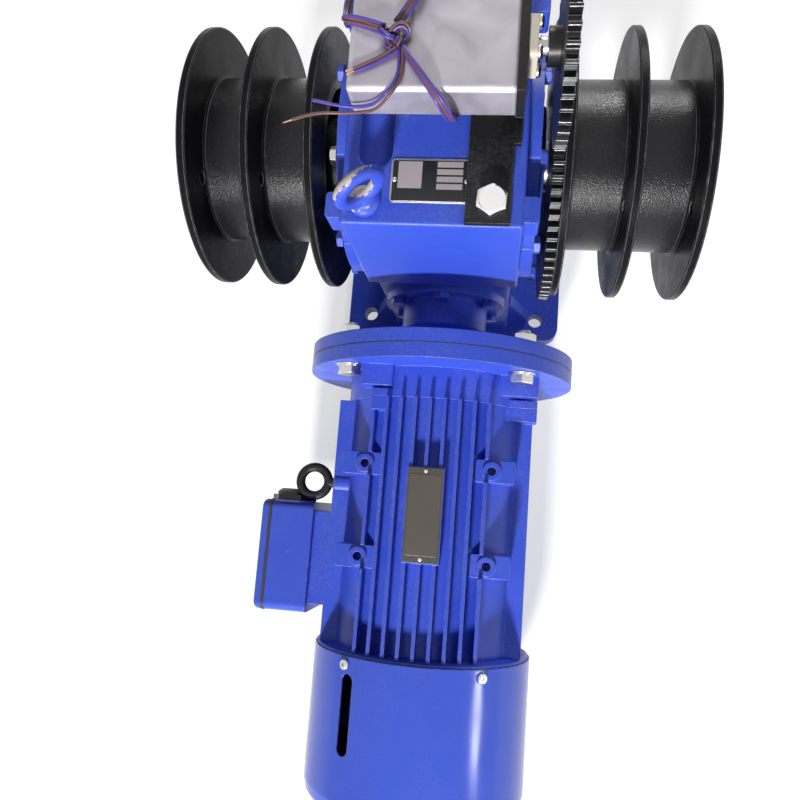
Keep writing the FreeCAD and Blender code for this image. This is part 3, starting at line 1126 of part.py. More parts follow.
window = doc.addObject("Part::Box", "ReleaseSlot")
bind(window, "Length", d.release_slot_width)
bind(window, "Width", d.release_slot_end - d.release_slot_start - d.release_slot_width)
bind(window, "Height", 20)
put(window, (slot_floor * math.sin(slot_turn) - slot_radius * math.cos(slot_turn),
             slot_radius - d.release_slot_end,
             worm_z + slot_floor * math.cos(slot_turn) + slot_radius * math.sin(slot_turn)), lean)
holes.append(window)
for degrees in (d.cowl_screw_angle, -d.cowl_screw_angle, 180 - d.cowl_screw_angle, 180 + d.cowl_screw_angle):
    lean = Rotation(Vector(0, 1, 0), float(degrees))
    turn = math.radians(float(degrees))
    place = (d.cowl_radius * math.sin(turn), -d.cowl_screw_y, worm_z + d.cowl_radius * math.cos(turn))
    back = lean.multiply(Rotation(Vector(1, 0, 0), 180))
    holes.append(rod(place, back, d.five_radius + d.part_gap, 6))
    shield_holes.append(rod(place, back, d.five_radius, d.five_depth + 2))
    m5_screws.append(pan_screw(place, lean))
node("fan_cover", cut(cowl, holes))
node("rear_end_shield", cut(rear_shield, shield_holes))

# Terminal box on the frame's left side
box_y = (-d.box_rear_y, -d.box_front_y)
box_z = (worm_z - d.box_half_height, worm_z + d.box_half_height)
body = rounded(box((-d.box_outer_x, -d.box_inner_x), box_y, box_z), d.box_round, runs_along("x"))
pocket = box((-d.box_outer_x - 1, -(d.box_inner_x + d.box_wall)),
             (box_y[0] + d.corner_wall, box_y[1] - d.corner_wall),
             (box_z[0] + d.corner_wall, box_z[1] - d.corner_wall))
gland_place = (-d.gland_x, -d.box_front_y, worm_z + d.gland_rise)
gland_hole = rod(gland_place, "-y", d.gland_thread_radius, d.corner_wall + 1)
screw_inset = d.box_round
screw_places = [(y, z) for y in (box_y[0] + screw_inset, box_y[1] - screw_inset)
                for z in (box_z[0] + screw_inset, box_z[1] - screw_inset)]
taps = [rod((-d.box_outer_x, y, z), "+x", d.five_radius, d.five_depth) for y, z in screw_places]
node("terminal_box", cut(body, [pocket, gland_hole] + taps))
lid_x = -(d.box_outer_x + d.lid_thickness)
lid = rounded(box((lid_x, -d.box_outer_x), box_y, box_z), d.box_round, runs_along("x"))
lid = rounded(lid, d.lid_round, lambda edge: edge.BoundBox.XMax < float(lid_x) + 0.01)
seat_depth = d.lid_thickness - d.lid_screw_seat
through = [rod((lid_x, y, z), "+x", d.five_radius + d.part_gap, d.lid_thickness) for y, z in screw_places]
seats = [rod((lid_x, y, z), "+x", d.five_head_radius + d.part_gap, seat_depth) for y, z in screw_places]
node("terminal_lid", cut(lid, through + seats))
for y, z in screw_places:
    m5_screws.append(pan_screw((lid_x + seat_depth, y, z), "-x"))
cap_radius = d.gland_radius - 2
cap = turned("y", [
    (d.gland_nut, 0), (d.gland_nut, cap_radius), (d.gland_reach - 3, cap_radius),
    (d.gland_reach, cap_radius - 4), (d.gland_reach, 0)], gland_place)
node("cable_gland", join([
    rod(gland_place, "-y", seat_of(d.gland_thread_radius), d.gland_thread_length),
    hexagon(gland_place, "+y", d.gland_radius, d.gland_nut), cap]))

node("m8_screws", group(m8_screws))
node("m5_screws", group(m5_screws))


# Free wires: straight runs joined by tangent arcs
def wire_tube(label, points, radius):
    points = [Vector(*p) for p in points]
    edges = []
    start = points[0]
    radii = []
    for before, corner, after in zip(points, points[1:], points[2:]):
        arriving, leaving = corner - before, after - corner
        turn = arriving.getAngle(leaving)
        reach = 0.45 * min(arriving.Length, leaving.Length)
        radii.append(reach / math.tan(turn / 2))
        arriving.normalize()
        leaving.normalize()
        first, last = corner - arriving * reach, corner + leaving * reach
        bisector = (leaving - arriving).normalize()
        middle = corner + bisector * (radii[-1] / math.cos(turn / 2) - radii[-1])
        edges.append(Part.LineSegment(start, first).toShape())
        edges.append(Part.Arc(first, middle, last).toShape())
        start = last
    edges.append(Part.LineSegment(start, points[-1]).toShape())
    path = Part.Wire(edges)
    section = Part.Wire(Part.Circle(points[0], points[1] - points[0], float(radius)).toShape())
    tube = path.makePipeShell([section], True, False)
    expected = math.pi * float(radius) ** 2 * path.Length
    print(label, "length %.1f" % path.Length, "volume ratio %.4f" % (tube.Volume / expected),
          "radii", " ".join("%.1f" % r for r in radii))
    node(label, shaped(tube, label))


WIRE_FRONT = [(18, -28, 378), (18, -50, 378), (9.5, -50.8, 423), (-12.2, -20, 418.2)]
WIRE_LOOP = [
    (-20, 9, 418.4), (2, 36, 423), (-18, 56, 405), (-46, 56, 396), (-64, 38, 396), (-64, 13, 399),
    (-57, 6, 421), (-36, 1, 419),
]
WIRE_PAIR = [(-24, -16.4, 417.1), (-29.5, -19.6, 417.05), (-39.5, -24.8, 417.05), (-52, -29.8, 417.05)]
WIRE_PURPLE = [
    (-18.2, -16.5, 416.6), (-17.6, -24, 416.6), (-19.2, -34, 416.6), (-24.5, -44.4, 416.4),
    (-34.5, -44.4, 405.5), (-46, -43.6, 401), (-58, -43.8, 402), (-74, -45, 410.5),
]
WIRE_BROWN = [
    (-15.4, -18.5, 416.6), (-14.9, -26, 416.6), (-16.8, -35.5, 416.6), (-22.5, -47, 416.8),
    (-33, -47.2, 404), (-43.5, -46.2, 398.6), (-57, -46.4, 397.2), (-71, -47, 398.6), (-86, -47, 393),
    (-100.5, -47, 384.5),
]
wire_tube("wire_front", WIRE_FRONT, d.bundle_radius)
wire_tube("wire_loop", WIRE_LOOP, d.bundle_radius)
wire_tube("wire_pair", WIRE_PAIR, d.pair_radius)
wire_tube("wire_purple", WIRE_PURPLE, d.single_radius)
wire_tube("wire_brown", WIRE_BROWN, d.single_radius)

# The knot that ties the wires on top of the box: the same bundle laid in an overhand turn, whose two
# ends lie at the front
knot_z = box_top_z + d.part_gap + d.knot_wire_radius + d.knot_half_height
knot_points = []
for k in range(25):
    t = math.pi + 0.2 + (2 * math.pi - 0.4) * k / 24
    knot_points.append(Vector(
        -22 + float(d.knot_half_width) / 2.74 * (math.sin(t) + 2 * math.sin(2 * t)),
        -6 + float(d.knot_half_depth) / 2.6 * (math.cos(t) - 2 * math.cos(2 * t)),
        float(knot_z) - float(d.knot_half_height) * math.sin(3 * t)))
curve = Part.BSplineCurve()
curve.interpolate(knot_points)
start_direction = curve.tangent(curve.FirstParameter)[0]
section = Part.Wire(Part.Circle(knot_points[0], start_direction, float(d.knot_wire_radius)).toShape())
tube = Part.Wire(curve.toShape()).makePipeShell([section], True, False)
node("wire_knot", shaped(tube, "wire_knot"))

# Every piece is checked before anything is written
doc.recompute()
for obj in doc.Objects:
    if "Invalid" in obj.State or "Error" in obj.State:
        raise RuntimeError("failed object: %s %s" % (obj.Name, obj.Label))
for name, obj in nodes.items():
    if obj.Shape.isNull() or not obj.Shape.isValid():
        raise RuntimeError("bad shape: " + name)
os.makedirs("parts", exist_ok=True)
for name, obj in nodes.items():
    obj.Shape.exportStep("parts/%s.step" % name)
print("nodes", len(nodes), "solids", sum(len(obj.Shape.Solids) for obj in nodes.values()))
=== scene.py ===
# %% [markdown]
# # Dressing a two-drum electric winch
# The hard pieces of the winch are exact solids from CAD, already in place and in metres. This lesson
# gives them their looks: paint, bare metal, wires, screws and plates. The CAD pieces are never moved,
# so every new piece is placed with the same numbers that the drawing uses.

# %% Load the solids
import json
import math

import bmesh
import bpy
from mathutils import Matrix, Vector


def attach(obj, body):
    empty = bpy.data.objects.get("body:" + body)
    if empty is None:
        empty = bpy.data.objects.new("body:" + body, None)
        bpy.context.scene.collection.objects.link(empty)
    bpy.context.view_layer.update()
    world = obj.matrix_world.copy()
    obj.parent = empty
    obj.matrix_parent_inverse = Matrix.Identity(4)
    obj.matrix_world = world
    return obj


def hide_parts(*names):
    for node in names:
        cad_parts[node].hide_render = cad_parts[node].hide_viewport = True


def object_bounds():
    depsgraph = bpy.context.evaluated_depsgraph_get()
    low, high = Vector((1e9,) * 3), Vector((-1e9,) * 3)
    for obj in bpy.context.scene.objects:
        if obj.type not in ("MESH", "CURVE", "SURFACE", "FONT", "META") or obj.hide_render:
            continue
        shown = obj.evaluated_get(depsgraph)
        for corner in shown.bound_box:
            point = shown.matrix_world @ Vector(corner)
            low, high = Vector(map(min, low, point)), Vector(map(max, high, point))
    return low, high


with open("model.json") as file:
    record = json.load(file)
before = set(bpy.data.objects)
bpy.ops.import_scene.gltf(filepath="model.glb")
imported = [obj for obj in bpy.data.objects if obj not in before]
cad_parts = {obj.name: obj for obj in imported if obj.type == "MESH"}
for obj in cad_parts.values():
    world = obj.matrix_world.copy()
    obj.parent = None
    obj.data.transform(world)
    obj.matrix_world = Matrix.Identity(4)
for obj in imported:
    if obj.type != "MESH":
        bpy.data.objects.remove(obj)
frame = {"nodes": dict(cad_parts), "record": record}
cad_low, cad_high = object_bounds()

MM = 0.001
print("solids:", len(frame["nodes"]), "box:", tuple(cad_low), tuple(cad_high))

# %% [markdown]
# ## The camera
# The winch was photographed from above with a short lens, standing over the motor. A camera can be
# aimed with a tracking constraint, but here its three directions were measured from straight edges of
# the drums and the flange, so they are written straight into its matrix.

# %% Camera
CAMERA_PLACE = Vector((0.0558, -0.3024, 0.8554))
CAMERA_RIGHT = Vector((0.99023, 0.07595, -0.11699))
CAMERA_UP = Vector((-0.05792, 0.98692, 0.15046))
CAMERA_BACK = Vector((0.12688, -0.14222, 0.98167))
LENS_MM = 33.98
SENSOR_MM = 36

lens = bpy.data.cameras.new("photo_camera")
lens.lens = LENS_MM
lens.sensor_width = SENSOR_MM
lens.clip_start = 0.01
camera = bpy.data.objects.new("photo_camera", lens)
turn = Matrix((CAMERA_RIGHT, CAMERA_UP, CAMERA_BACK)).transposed().to_4x4()
camera.matrix_world = Matrix.Translation(CAMERA_PLACE) @ turn
bpy.context.scene.collection.objects.link(camera)
bpy.context.scene.camera = camera
print("camera height", round(CAMERA_PLACE.z, 3))

# %% [markdown]
# ## Wires: one smooth line for each route
# The loose wires are limp, so each one follows a single soft curve. A NURBS spline bends gently near
# its control points, which is how a wire behaves, and its own points can be read back from a mesh made
# of the bare curve. The control points are the drawing's route points, in millimetres, moved a little
# where the wire has to reach the knot or pass over the edge of the box.

# %% Wire routes
ROUTES = {
    "wire_front": [(18, -28, 382.2), (18, -49, 382.2), (9.5, -52, 425), (-17.2, -13, 419.3)],
    "wire_loop": [(-20.5, 2.5, 420), (2, 36, 424), (-18, 60, 408), (-46, 58, 396), (-59, 40, 396),
                  (-59, 14, 400), (-55.5, 6, 423), (-28.6, -2, 420)],
    "wire_pair": [(-19.6, -13.6, 418.2), (-29.5, -19.6, 417.05), (-39.5, -24.8, 417.05),
                  (-52, -29.8, 417.05)],
    "wire_purple": [(-19.0, -11.5, 418.4), (-17.6, -24, 416.6), (-19.2, -34, 416.6),
                    (-24.5, -44.4, 418), (-34.5, -45.4, 405.5), (-46, -44.4, 401),
                    (-58, -44.2, 402), (-74, -45, 410.5)],
    "wire_brown": [(-16.8, -12.5, 418.4), (-14.9, -26, 416.6), (-16.8, -35.5, 416.6),
                   (-22.5, -47, 419), (-33, -48, 404), (-43.5, -46.6, 398.6), (-57, -46.6, 397.2),
                   (-71, -47, 398.6), (-86, -47, 393), (-100.5, -47, 384.5)],
}


def route_line(name, points):
    """The points of the smooth line that follows a route given in millimetres."""
    curve = bpy.data.curves.new(name + "_route", "CURVE")
    curve.dimensions = "3D"
    curve.resolution_u = 16
    spline = curve.splines.new("NURBS")
    spline.points.add(len(points) - 1)
    for point, place in zip(spline.points, points):
        point.co = (place[0] * MM, place[1] * MM, place[2] * MM, 1)
    spline.order_u = 3
    spline.use_endpoint_u = True
    holder = bpy.data.objects.new(name + "_route", curve)
    mesh = bpy.data.meshes.new_from_object(holder)
    line = [vertex.co.copy() for vertex in mesh.vertices]
    bpy.data.meshes.remove(mesh)
    bpy.data.objects.remove(holder)
    bpy.data.curves.remove(curve)
    return line


def line_length(line):
    return sum((b - a).length for a, b in zip(line, line[1:]))


lines = {name: route_line(name, points) for name, points in ROUTES.items()}
for name, line in lines.items():
    print(name, "line of %.1f mm" % (line_length(line) / MM))

# %% [markdown]
# ## Wires: round tubes
# A curve with a bevel would give a round wire at once, but several strands of two colours have to become
# one piece. So each tube is skinned by hand: a ring of points at every step of the line, and faces from
# ring to ring. The ring's directions are carried along the line, which keeps the tube from twisting.

# %% Tubes
TUBE_SIDES = 10


def directions(line):
    """At each point: along the line, sideways, and up, carried on with as little turning as possible."""
    found = []
    side = (line[1] - line[0]).cross(Vector((0, 0, 1)))
    if side.length < 1e-6:
        side = Vector((1, 0, 0))
    for i in range(len(line)):
        along = (line[min(i + 1, len(line) - 1)] - line[max(i - 1, 0)]).normalized()
        side = (side - along * side.dot(along)).normalized()
        found.append((along, side, side.cross(along)))
    return found


def skin(bm, rings, material=0, smooth=False, open_end=False):
    """Faces from ring to ring, closed at the first ring and, unless it stays open, at the last."""
    faces = [bm.faces.new(rings[0][::-1])]
    if not open_end:
        faces.append(bm.faces.new(rings[-1]))
    count = len(rings[0])
    for near, far in zip(rings, rings[1:]):
        for k in range(count):
            after = (k + 1) % count
            face = bm.faces.new((near[k], near[after], far[after], far[k]))
            face.smooth = smooth
            faces.append(face)
    for face in faces:
        face.material_index = material


def add_tube(bm, line, radius, material):
    """A closed round tube along a line, added to a mesh being built."""
    rings = []
    for centre, (_, side, up) in zip(line, directions(line)):
        ring = []
        for k in range(TUBE_SIDES):
            angle = 2 * math.pi * k / TUBE_SIDES
            spoke = side * math.cos(angle) + up * math.sin(angle)
            ring.append(bm.verts.new(centre + spoke * radius))
        rings.append(ring)
    skin(bm, rings, material, smooth=True)


def finish_piece(name, bm, body):
    """Turns a built mesh into an object of the winch that rides on a body."""
    bmesh.ops.recalc_face_normals(bm, faces=bm.faces)
    mesh = bpy.data.meshes.new(name)
    bm.to_mesh(mesh)
    bm.free()
    piece = bpy.data.objects.new(name, mesh)
    bpy.context.scene.collection.objects.link(piece)
    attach(piece, body)
    return piece


print("tubes have", TUBE_SIDES, "sides")

# %% [markdown]
# ## Wires: strands beside the line
# A bundle is several thin covered wires that lie side by side like a loose ribbon. Each strand is a tube
# of its own, pushed sideways from the shared line while the ribbon turns slowly, so that it looks like
# many wires and not like one striped hose. The ends are stripped, so a thinner copper core sticks out.

# %% Strands
PURPLE, BROWN, COPPER = 0, 1, 2
STRAND = 1.05 * MM
CORE = 0.55 * MM
STRIPPED_STEPS = 5
SWAY = 0.3
SWAYS_ALONG = 80


def strand_line(line, offset, lift, twist):
    """A line beside another one, on a ribbon that turns slowly and sways a little."""
    placed = []
    gone = 0.0
    for i, (centre, (_, side, up)) in enumerate(zip(line, directions(line))):
        gone += (centre - line[i - 1]).length if i else 0.0
        turn = twist * gone
        across = side * math.cos(turn) + up * math.sin(turn)
        above = up * math.cos(turn) - side * math.sin(turn)
        sway = SWAY * math.sin(SWAYS_ALONG * gone + 2 * offset)
        placed.append(centre + (across * (offset + sway) + above * lift) * MM)
    return placed


def bundle(name, line, strands, twist, bare_end):
    """A piece made of several strands, each given by its colour, its place sideways and its lift."""
    bm = bmesh.new()
    for colour, offset, lift in strands:
        own = strand_line(line, offset, lift, twist) if len(strands) > 1 else line
        if bare_end:
            add_tube(bm, own[:-STRIPPED_STEPS], STRAND, colour)
            add_tube(bm, own[-STRIPPED_STEPS - 1:], CORE, COPPER)
        else:
            add_tube(bm, own, STRAND, colour)
    return finish_piece(name, bm, "base")


FOUR = ((PURPLE, -2.7, 0.2), (BROWN, -0.9, -0.1), (BROWN, 0.9, 0.3), (PURPLE, 2.6, -0.2))
TWO = ((PURPLE, -1.15, 0.0), (BROWN, 1.15, 0.0))
ONE_PURPLE = ((PURPLE, 0, 0),)
ONE_BROWN = ((BROWN, 0, 0),)
wires = {}
for node, piece_name, strands, twist, slot, bare_end in (
        ("wire_front", "wire_front_strands", FOUR, 5, "wire_mixed", False),
        ("wire_loop", "wire_loop_strands", FOUR, 14, "wire_mixed", False),
        ("wire_pair", "wire_pair_strands", TWO, 10, "wire_mixed", True),
        ("wire_purple", "wire_purple_strand", ONE_PURPLE, 0, "wire_purple", False),
        ("wire_brown", "wire_brown_strand", ONE_BROWN, 0, "wire_brown", True)):
    wires[node] = bundle(piece_name, lines[node], strands, twist, bare_end)
print("wire pieces:", [piece.name for piece in wires.values()])

# %% [markdown]
# ## Wires: the knot
# Where the bundles meet, one turn of three strands is tied round the others. A simple overhand knot is a
# trefoil, and a trefoil has a short formula, so the knot needs no points placed by hand. It is left open
# by a little so that it has two ends, as a tied wire does.

# %% Knot
KNOT_CENTRE = Vector((-22, -6, 420.5))
KNOT_HALF_WIDTH, KNOT_HALF_DEPTH, KNOT_HALF_HEIGHT = 9, 7, 3
TREFOIL_REACH_X, TREFOIL_REACH_Y = 2.74, 2.6
KNOT_STEPS = 24
KNOT_OPENING = 0.2
THREE = ((PURPLE, -1.2, 0.3), (BROWN, 1.1, 0.5), (PURPLE, 0.0, -1.1))

knot_points = []
for k in range(KNOT_STEPS + 1):
    t = math.pi + KNOT_OPENING + 2 * (math.pi - KNOT_OPENING) * k / KNOT_STEPS
    reach_x = math.sin(t) + 2 * math.sin(2 * t)
    reach_y = math.cos(t) - 2 * math.cos(2 * t)
    knot_points.append((
        KNOT_CENTRE.x + KNOT_HALF_WIDTH / TREFOIL_REACH_X * reach_x,
        KNOT_CENTRE.y + KNOT_HALF_DEPTH / TREFOIL_REACH_Y * reach_y,
        KNOT_CENTRE.z - KNOT_HALF_HEIGHT * math.sin(3 * t)))
knot = bundle("wire_knot_strands", route_line("wire_knot", knot_points), THREE, 90, False)
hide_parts("wire_knot")
for node, piece in wires.items():
    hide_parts(node)
print("knot:", knot.name, "at", tuple(KNOT_CENTRE))

# %% [markdown]
# ## Wires: their facts
# A wire is a fixed length of something limp. This cell prints each wire's length, how thick the
# wire is and how it ends. The length is read from the line itself, so it always agrees with the shape.

# %% Wire facts
BUNDLE_WIDTH = 5.2 * MM
PAIR_WIDTH = 3.6 * MM
SINGLE_WIDTH = 2.3 * MM
for name, width, far_end, lay, with_pieces in (
        ("wire_front", BUNDLE_WIDTH, "knot", "hanging", [knot]),
        ("wire_loop", BUNDLE_WIDTH, "knot", "loose", []),
        ("wire_pair", PAIR_WIDTH, "bare", "loose", []),
        ("wire_purple", SINGLE_WIDTH, "bare", "loose", []),
        ("wire_brown", SINGLE_WIDTH, "bare", "loose", [])):
    line = lines[name]
    print(name, "%.3f m, %.1f mm thick, ends %s" % (line_length(line), width / MM, far_end))

# %% [markdown]
# ## Turned shapes
# Washers, threads and rivets are turned on a lathe, so they are all rings round an axis. Blender's Screw
# modifier could spin a profile, but then each one would be its own object. A short function that places
# rings lets many of them share one mesh.

# %% Rings and turned shapes
def across_of(aim):
    """Two directions square to an aim, and the aim itself."""
    along = Vector(aim).normalized()
    first = along.orthogonal().normalized()
    return first, along.cross(first), along


def circle(place, aim, far, radius, sides):
    """Points of a circle square to an aim, in millimetres."""
    first, second, along = across_of(aim)
    centre = Vector(place) + along * far
    angles = [2 * math.pi * k / sides for k in range(sides)]
    return [centre + (first * math.cos(a) + second * math.sin(a)) * radius for a in angles]


def turned(bm, place, aim, profile, material=0, sides=32, open_end=False):
    """A turned shape: rings at (distance along the aim, radius), all in millimetres."""
    rings = [[bm.verts.new(point * MM) for point in circle(place, aim, far, radius, sides)]
             for far, radius in profile]
    skin(bm, rings, material, open_end=open_end)
    return rings[-1]


def hoop(bm, outlines, material=0, smooth=False):
    """A closed hoop: faces from outline to outline, and from the last one back to the first."""
    rings = [[bm.verts.new(point * MM) for point in outline] for outline in outlines]
    count = len(rings[0])
    for near, far in zip(rings, rings[1:] + rings[:1]):
        for k in range(count):
            after = (k + 1) % count
            face = bm.faces.new((near[k], near[after], far[after], far[k]))
            face.material_index = material
            face.smooth = smooth


def washer(bm, place, aim, radius, thickness, edge=0.3):
    """A washer whose two rims are broken a little."""
    turned(bm, place, aim, [(0, radius - edge), (edge, radius), (thickness - edge, radius),
                            (thickness, radius - edge)])


def on_circle(count, radius, start):
    """Pairs of offsets, evenly round a circle."""
    angles = [math.radians(start + 360 * k / count) for k in range(count)]
    return [(radius * math.cos(angle), radius * math.sin(angle)) for angle in angles]


print("a circle of 4:", [(round(x, 2), round(y, 2)) for x, y in on_circle(4, 1, 45)])

# %% [markdown]
# ## Hexagon bolts
# In the drawing the bolts are plain prisms. Real heads are turned from hexagon bar, so their corners fall
# away in a cone and leave curved edges. A boolean cut for each head would be slow, and a subdivision
# surface would round the flats; rings of points that follow the hexagon and the cone give the shape
# exactly and are quick to build.

# %% Hexagon bolts
HEX_POINTS = 36
TOP_SHARE, DISH_SHARE, DISH_DEPTH = 0.93, 0.84, 0.25
CORNER_FALL = math.tan(math.radians(30))
PLAIN_SHARE = 0.66
COARSE_PITCH = 1.5


def thread(start, end, radius, pitch):
    """The profile of a screw thread: ridges one pitch apart."""
    root = radius - 0.55 * pitch
    points = []
    for k in range(int((end - start) / pitch)):
        points += [(start + k * pitch, root), (start + (k + 0.5) * pitch, radius)]
    return points + [(end, root)]


def hex_head(bm, place, aim, flat, head, turn=0.0, material=0):
    """A hexagon whose corners fall away in a cone at the top, with a shallow dish."""
    first, second, along = across_of(aim)
    top = TOP_SHARE * flat
    rings = [[], [], [], []]
    for k in range(HEX_POINTS):
        angle = 2 * math.pi * k / HEX_POINTS
        corner = flat / math.cos((angle + math.pi / 6) % (math.pi / 3) - math.pi / 6)
        shoulder = head - (corner - top) * CORNER_FALL
        spoke = first * math.cos(angle + turn) + second * math.sin(angle + turn)
        steps = ((0, corner), (shoulder, corner), (head, top), (head - DISH_DEPTH, DISH_SHARE * flat))
        for ring, (far, radius) in zip(rings, steps):
            ring.append(bm.verts.new((Vector(place) + along * far + spoke * radius) * MM))
    skin(bm, rings, material)


def hex_bolt(bm, place, aim, flat, head, radius, length, turn=0.0, material=0):
    """A hexagon bolt whose head stands on a place; its thread fills the last third."""
    hex_head(bm, place, aim, flat, head, turn, material)
    plain = PLAIN_SHARE * length
    shank = [(0, radius), (plain, radius)] + thread(plain, length, radius, COARSE_PITCH)
    turned(bm, place, -Vector(aim), shank, material, 20)


M8 = {"flat": 6.5, "head": 5.5, "radius": 3.9}
M12 = {"flat": 9.5, "head": 7.5, "radius": 5.9}
M14 = {"flat": 10.5, "head": 9, "radius": 6.9}
PLUG = {"flat": 11, "head": 8, "radius": 7.9}
print("bolt sizes, half across flats:", [size["flat"] for size in (M8, M12, M14, PLUG)])

# %% [markdown]
# ## The larger bolts
# Four bolts with a flat and a spring washer hold the motor's flange, two hold the bracket, one holds each
# drum on its shaft, and two plugs close the oil holes. Equal bolts share a mesh, as they share a node of
# the drawing, and each head is turned by another angle, because nobody lines bolt heads up.

# %% Flange, bracket, drum and plug bolts
WORM, AXIS, CASE_TOP, LIMIT = 128, 228, 334, 399
FLANGE_BOLT_CIRCLE = 107.5
MOTOR_FACE_Y, GEARBOX_FACE_Y = -178.3, -153.2
FLAT_WASHER = {"radius": 12, "thickness": 1.3}
SPRING_WASHER = {"radius": 10.4, "thickness": 1.2, "edge": 0.2}
PLUG_WASHER = {"radius": 12.5, "thickness": 1.5}
NUT_HEIGHT = 9.5
BRACKET_TOP = CASE_TOP + 5
BRACKET_BOLT_X, BRACKET_BOLTS_Y = 44, (-82, 70)
DRUM_END_X = 188
FILL_PLUG, DRAIN_PLUG = (0, 76, CASE_TOP), (0, 92, 42)
screws = {}

bm = bmesh.new()
towards_motor = Vector((0, -1, 0))
for k, (x, z) in enumerate(on_circle(4, FLANGE_BOLT_CIRCLE, 45)):
    place = Vector((x, MOTOR_FACE_Y, WORM + z))
    for ring in (FLAT_WASHER, SPRING_WASHER):
        washer(bm, place, towards_motor, **ring)
        place = place + towards_motor * ring["thickness"]
    hex_bolt(bm, place, towards_motor, **M12, length=40, turn=0.25 + 0.7 * k)
    hex_head(bm, (x, GEARBOX_FACE_Y, WORM + z), -towards_motor, M12["flat"], NUT_HEIGHT, 0.5 * k)
screws["flange_bolts"] = finish_piece("flange_bolt_set", bm, "base")

bm = bmesh.new()
for k, y in enumerate(BRACKET_BOLTS_Y):
    hex_bolt(bm, (BRACKET_BOLT_X, y, BRACKET_TOP), (0, 0, 1), **M14, length=21, turn=0.2 + 0.4 * k)
screws["bracket_bolts"] = finish_piece("bracket_bolt_set", bm, "base")

bm = bmesh.new()
for side in (-1, 1):
    hex_bolt(bm, (DRUM_END_X * side, 0, AXIS), (side, 0, 0), **M12, length=36, turn=0.4)
screws["drum_end_bolts"] = finish_piece("drum_end_bolt_set", bm, "drum")

bm = bmesh.new()
for place, aim in ((FILL_PLUG, (0, 0, 1)), (DRAIN_PLUG, (0, 1, 0))):
    washer(bm, place, aim, **PLUG_WASHER)
    hex_bolt(bm, place, aim, **PLUG, length=14, turn=0.3)
screws["oil_plugs"] = finish_piece("oil_plug_set", bm, "base")
print("bolt pieces:", sorted(screws))

# %% [markdown]
# ## Pan-head screws
# The small screws have a cross recess. A boolean cut is the usual way to sink one, but it leaves messy
# faces on such a small head. Here the head's open top is stitched to the twelve corners of the cross,
# and the cross is carried down to a floor, so the recess is real and clean.

# %% Pan-head screws
PAN = {"radius": 4.5, "head": 3, "length": 8}
PAN_SIDES = 24
ARM_SHARE, HALF_SHARE = 0.42, 0.13
FINE_RADIUS, FINE_PITCH = 2.4, 0.8


def pan_screw(bm, place, aim, radius, head, length, material=0):
    """A pan-head screw with a cross recess."""
    first, second, along = across_of(aim)
    profile = [(0, radius), (0.45 * head, radius), (0.8 * head, 0.86 * radius), (head, 0.6 * radius)]
    top = turned(bm, place, aim, profile, material, PAN_SIDES, open_end=True)
    arm, half = ARM_SHARE * radius, HALF_SHARE * radius
    cross = [(arm, -half), (arm, half), (half, half), (half, arm), (-half, arm), (-half, half),
             (-arm, half), (-arm, -half), (-half, -half), (-half, -arm), (half, -arm), (half, -half)]
    rims = []
    for far in (head, 0.45 * head):
        centre = Vector(place) + along * far
        rims.append([bm.verts.new((centre + first * x + second * y) * MM) for x, y in cross])
    faces = [bm.faces.new(rims[1])]
    for k in range(len(cross)):
        after = (k + 1) % len(cross)
        here, there, middle = rims[0][k], rims[0][after], top[2 * k]
        faces += [bm.faces.new((here, top[2 * k - 1], middle)),
                  bm.faces.new((here, middle, there)),
                  bm.faces.new((there, middle, top[(2 * k + 1) % PAN_SIDES])),
                  bm.faces.new((here, there, rims[1][after], rims[1][k]))]
    for face in faces:
        face.material_index = material
    shank = [(0, FINE_RADIUS)] + thread(1, length, FINE_RADIUS, FINE_PITCH)
    turned(bm, place, -Vector(aim), shank, material, 16)


print("pan heads are", 2 * PAN["radius"], "mm across")

# %% Bearing, cowl and lid screws
BEARING_FACE_X, BEARING_SCREWS = 69, (-10.5, 10.5)
COWL_RADIUS, COWL_SCREW_Y, COWL_SCREW_DEGREES = 99, -434, (35, -35, 145, 215)
LID_FACE_X, LID_SCREWS_Y, LID_SCREWS_Z = -150, (-394, -310), (-34, 34)
bm = bmesh.new()
for y in BEARING_SCREWS:
    for z in BEARING_SCREWS:
        pan_screw(bm, (BEARING_FACE_X, y, LIMIT + z), (1, 0, 0), **PAN)
for degrees in COWL_SCREW_DEGREES:
    out = Vector((math.sin(math.radians(degrees)), 0, math.cos(math.radians(degrees))))
    pan_screw(bm, out * COWL_RADIUS + Vector((0, COWL_SCREW_Y, WORM)), out, **PAN)
for y in LID_SCREWS_Y:
    for z in LID_SCREWS_Z:
        pan_screw(bm, (LID_FACE_X, y, WORM + z), (-1, 0, 0), **PAN)
screws["m5_screws"] = finish_piece("m5_screw_set", bm, "base")
print("pan-head screws have", len(screws["m5_screws"].data.polygons), "faces in all")

# %% [markdown]
# ## Cover screws
# Eight screws hold each round side cover and six each end of the worm's tunnel. They went on before the
# gearbox was sprayed, so most heads are blue; one at the left shows bare plating. The three long screws
# of the brake are plated too. Two material slots on one mesh say which is which.

# %% Cover screws
PAINTED, PLATED = 0, 1
SIDE_FACE_X, SIDE_SCREW_CIRCLE = 78, 90.5
TUNNEL_FACE_Y, TUNNEL_SCREW_CIRCLE = 102, 50
BRAKE_FACE_Y, BRAKE_SCREW_CIRCLE = -494.5, 67

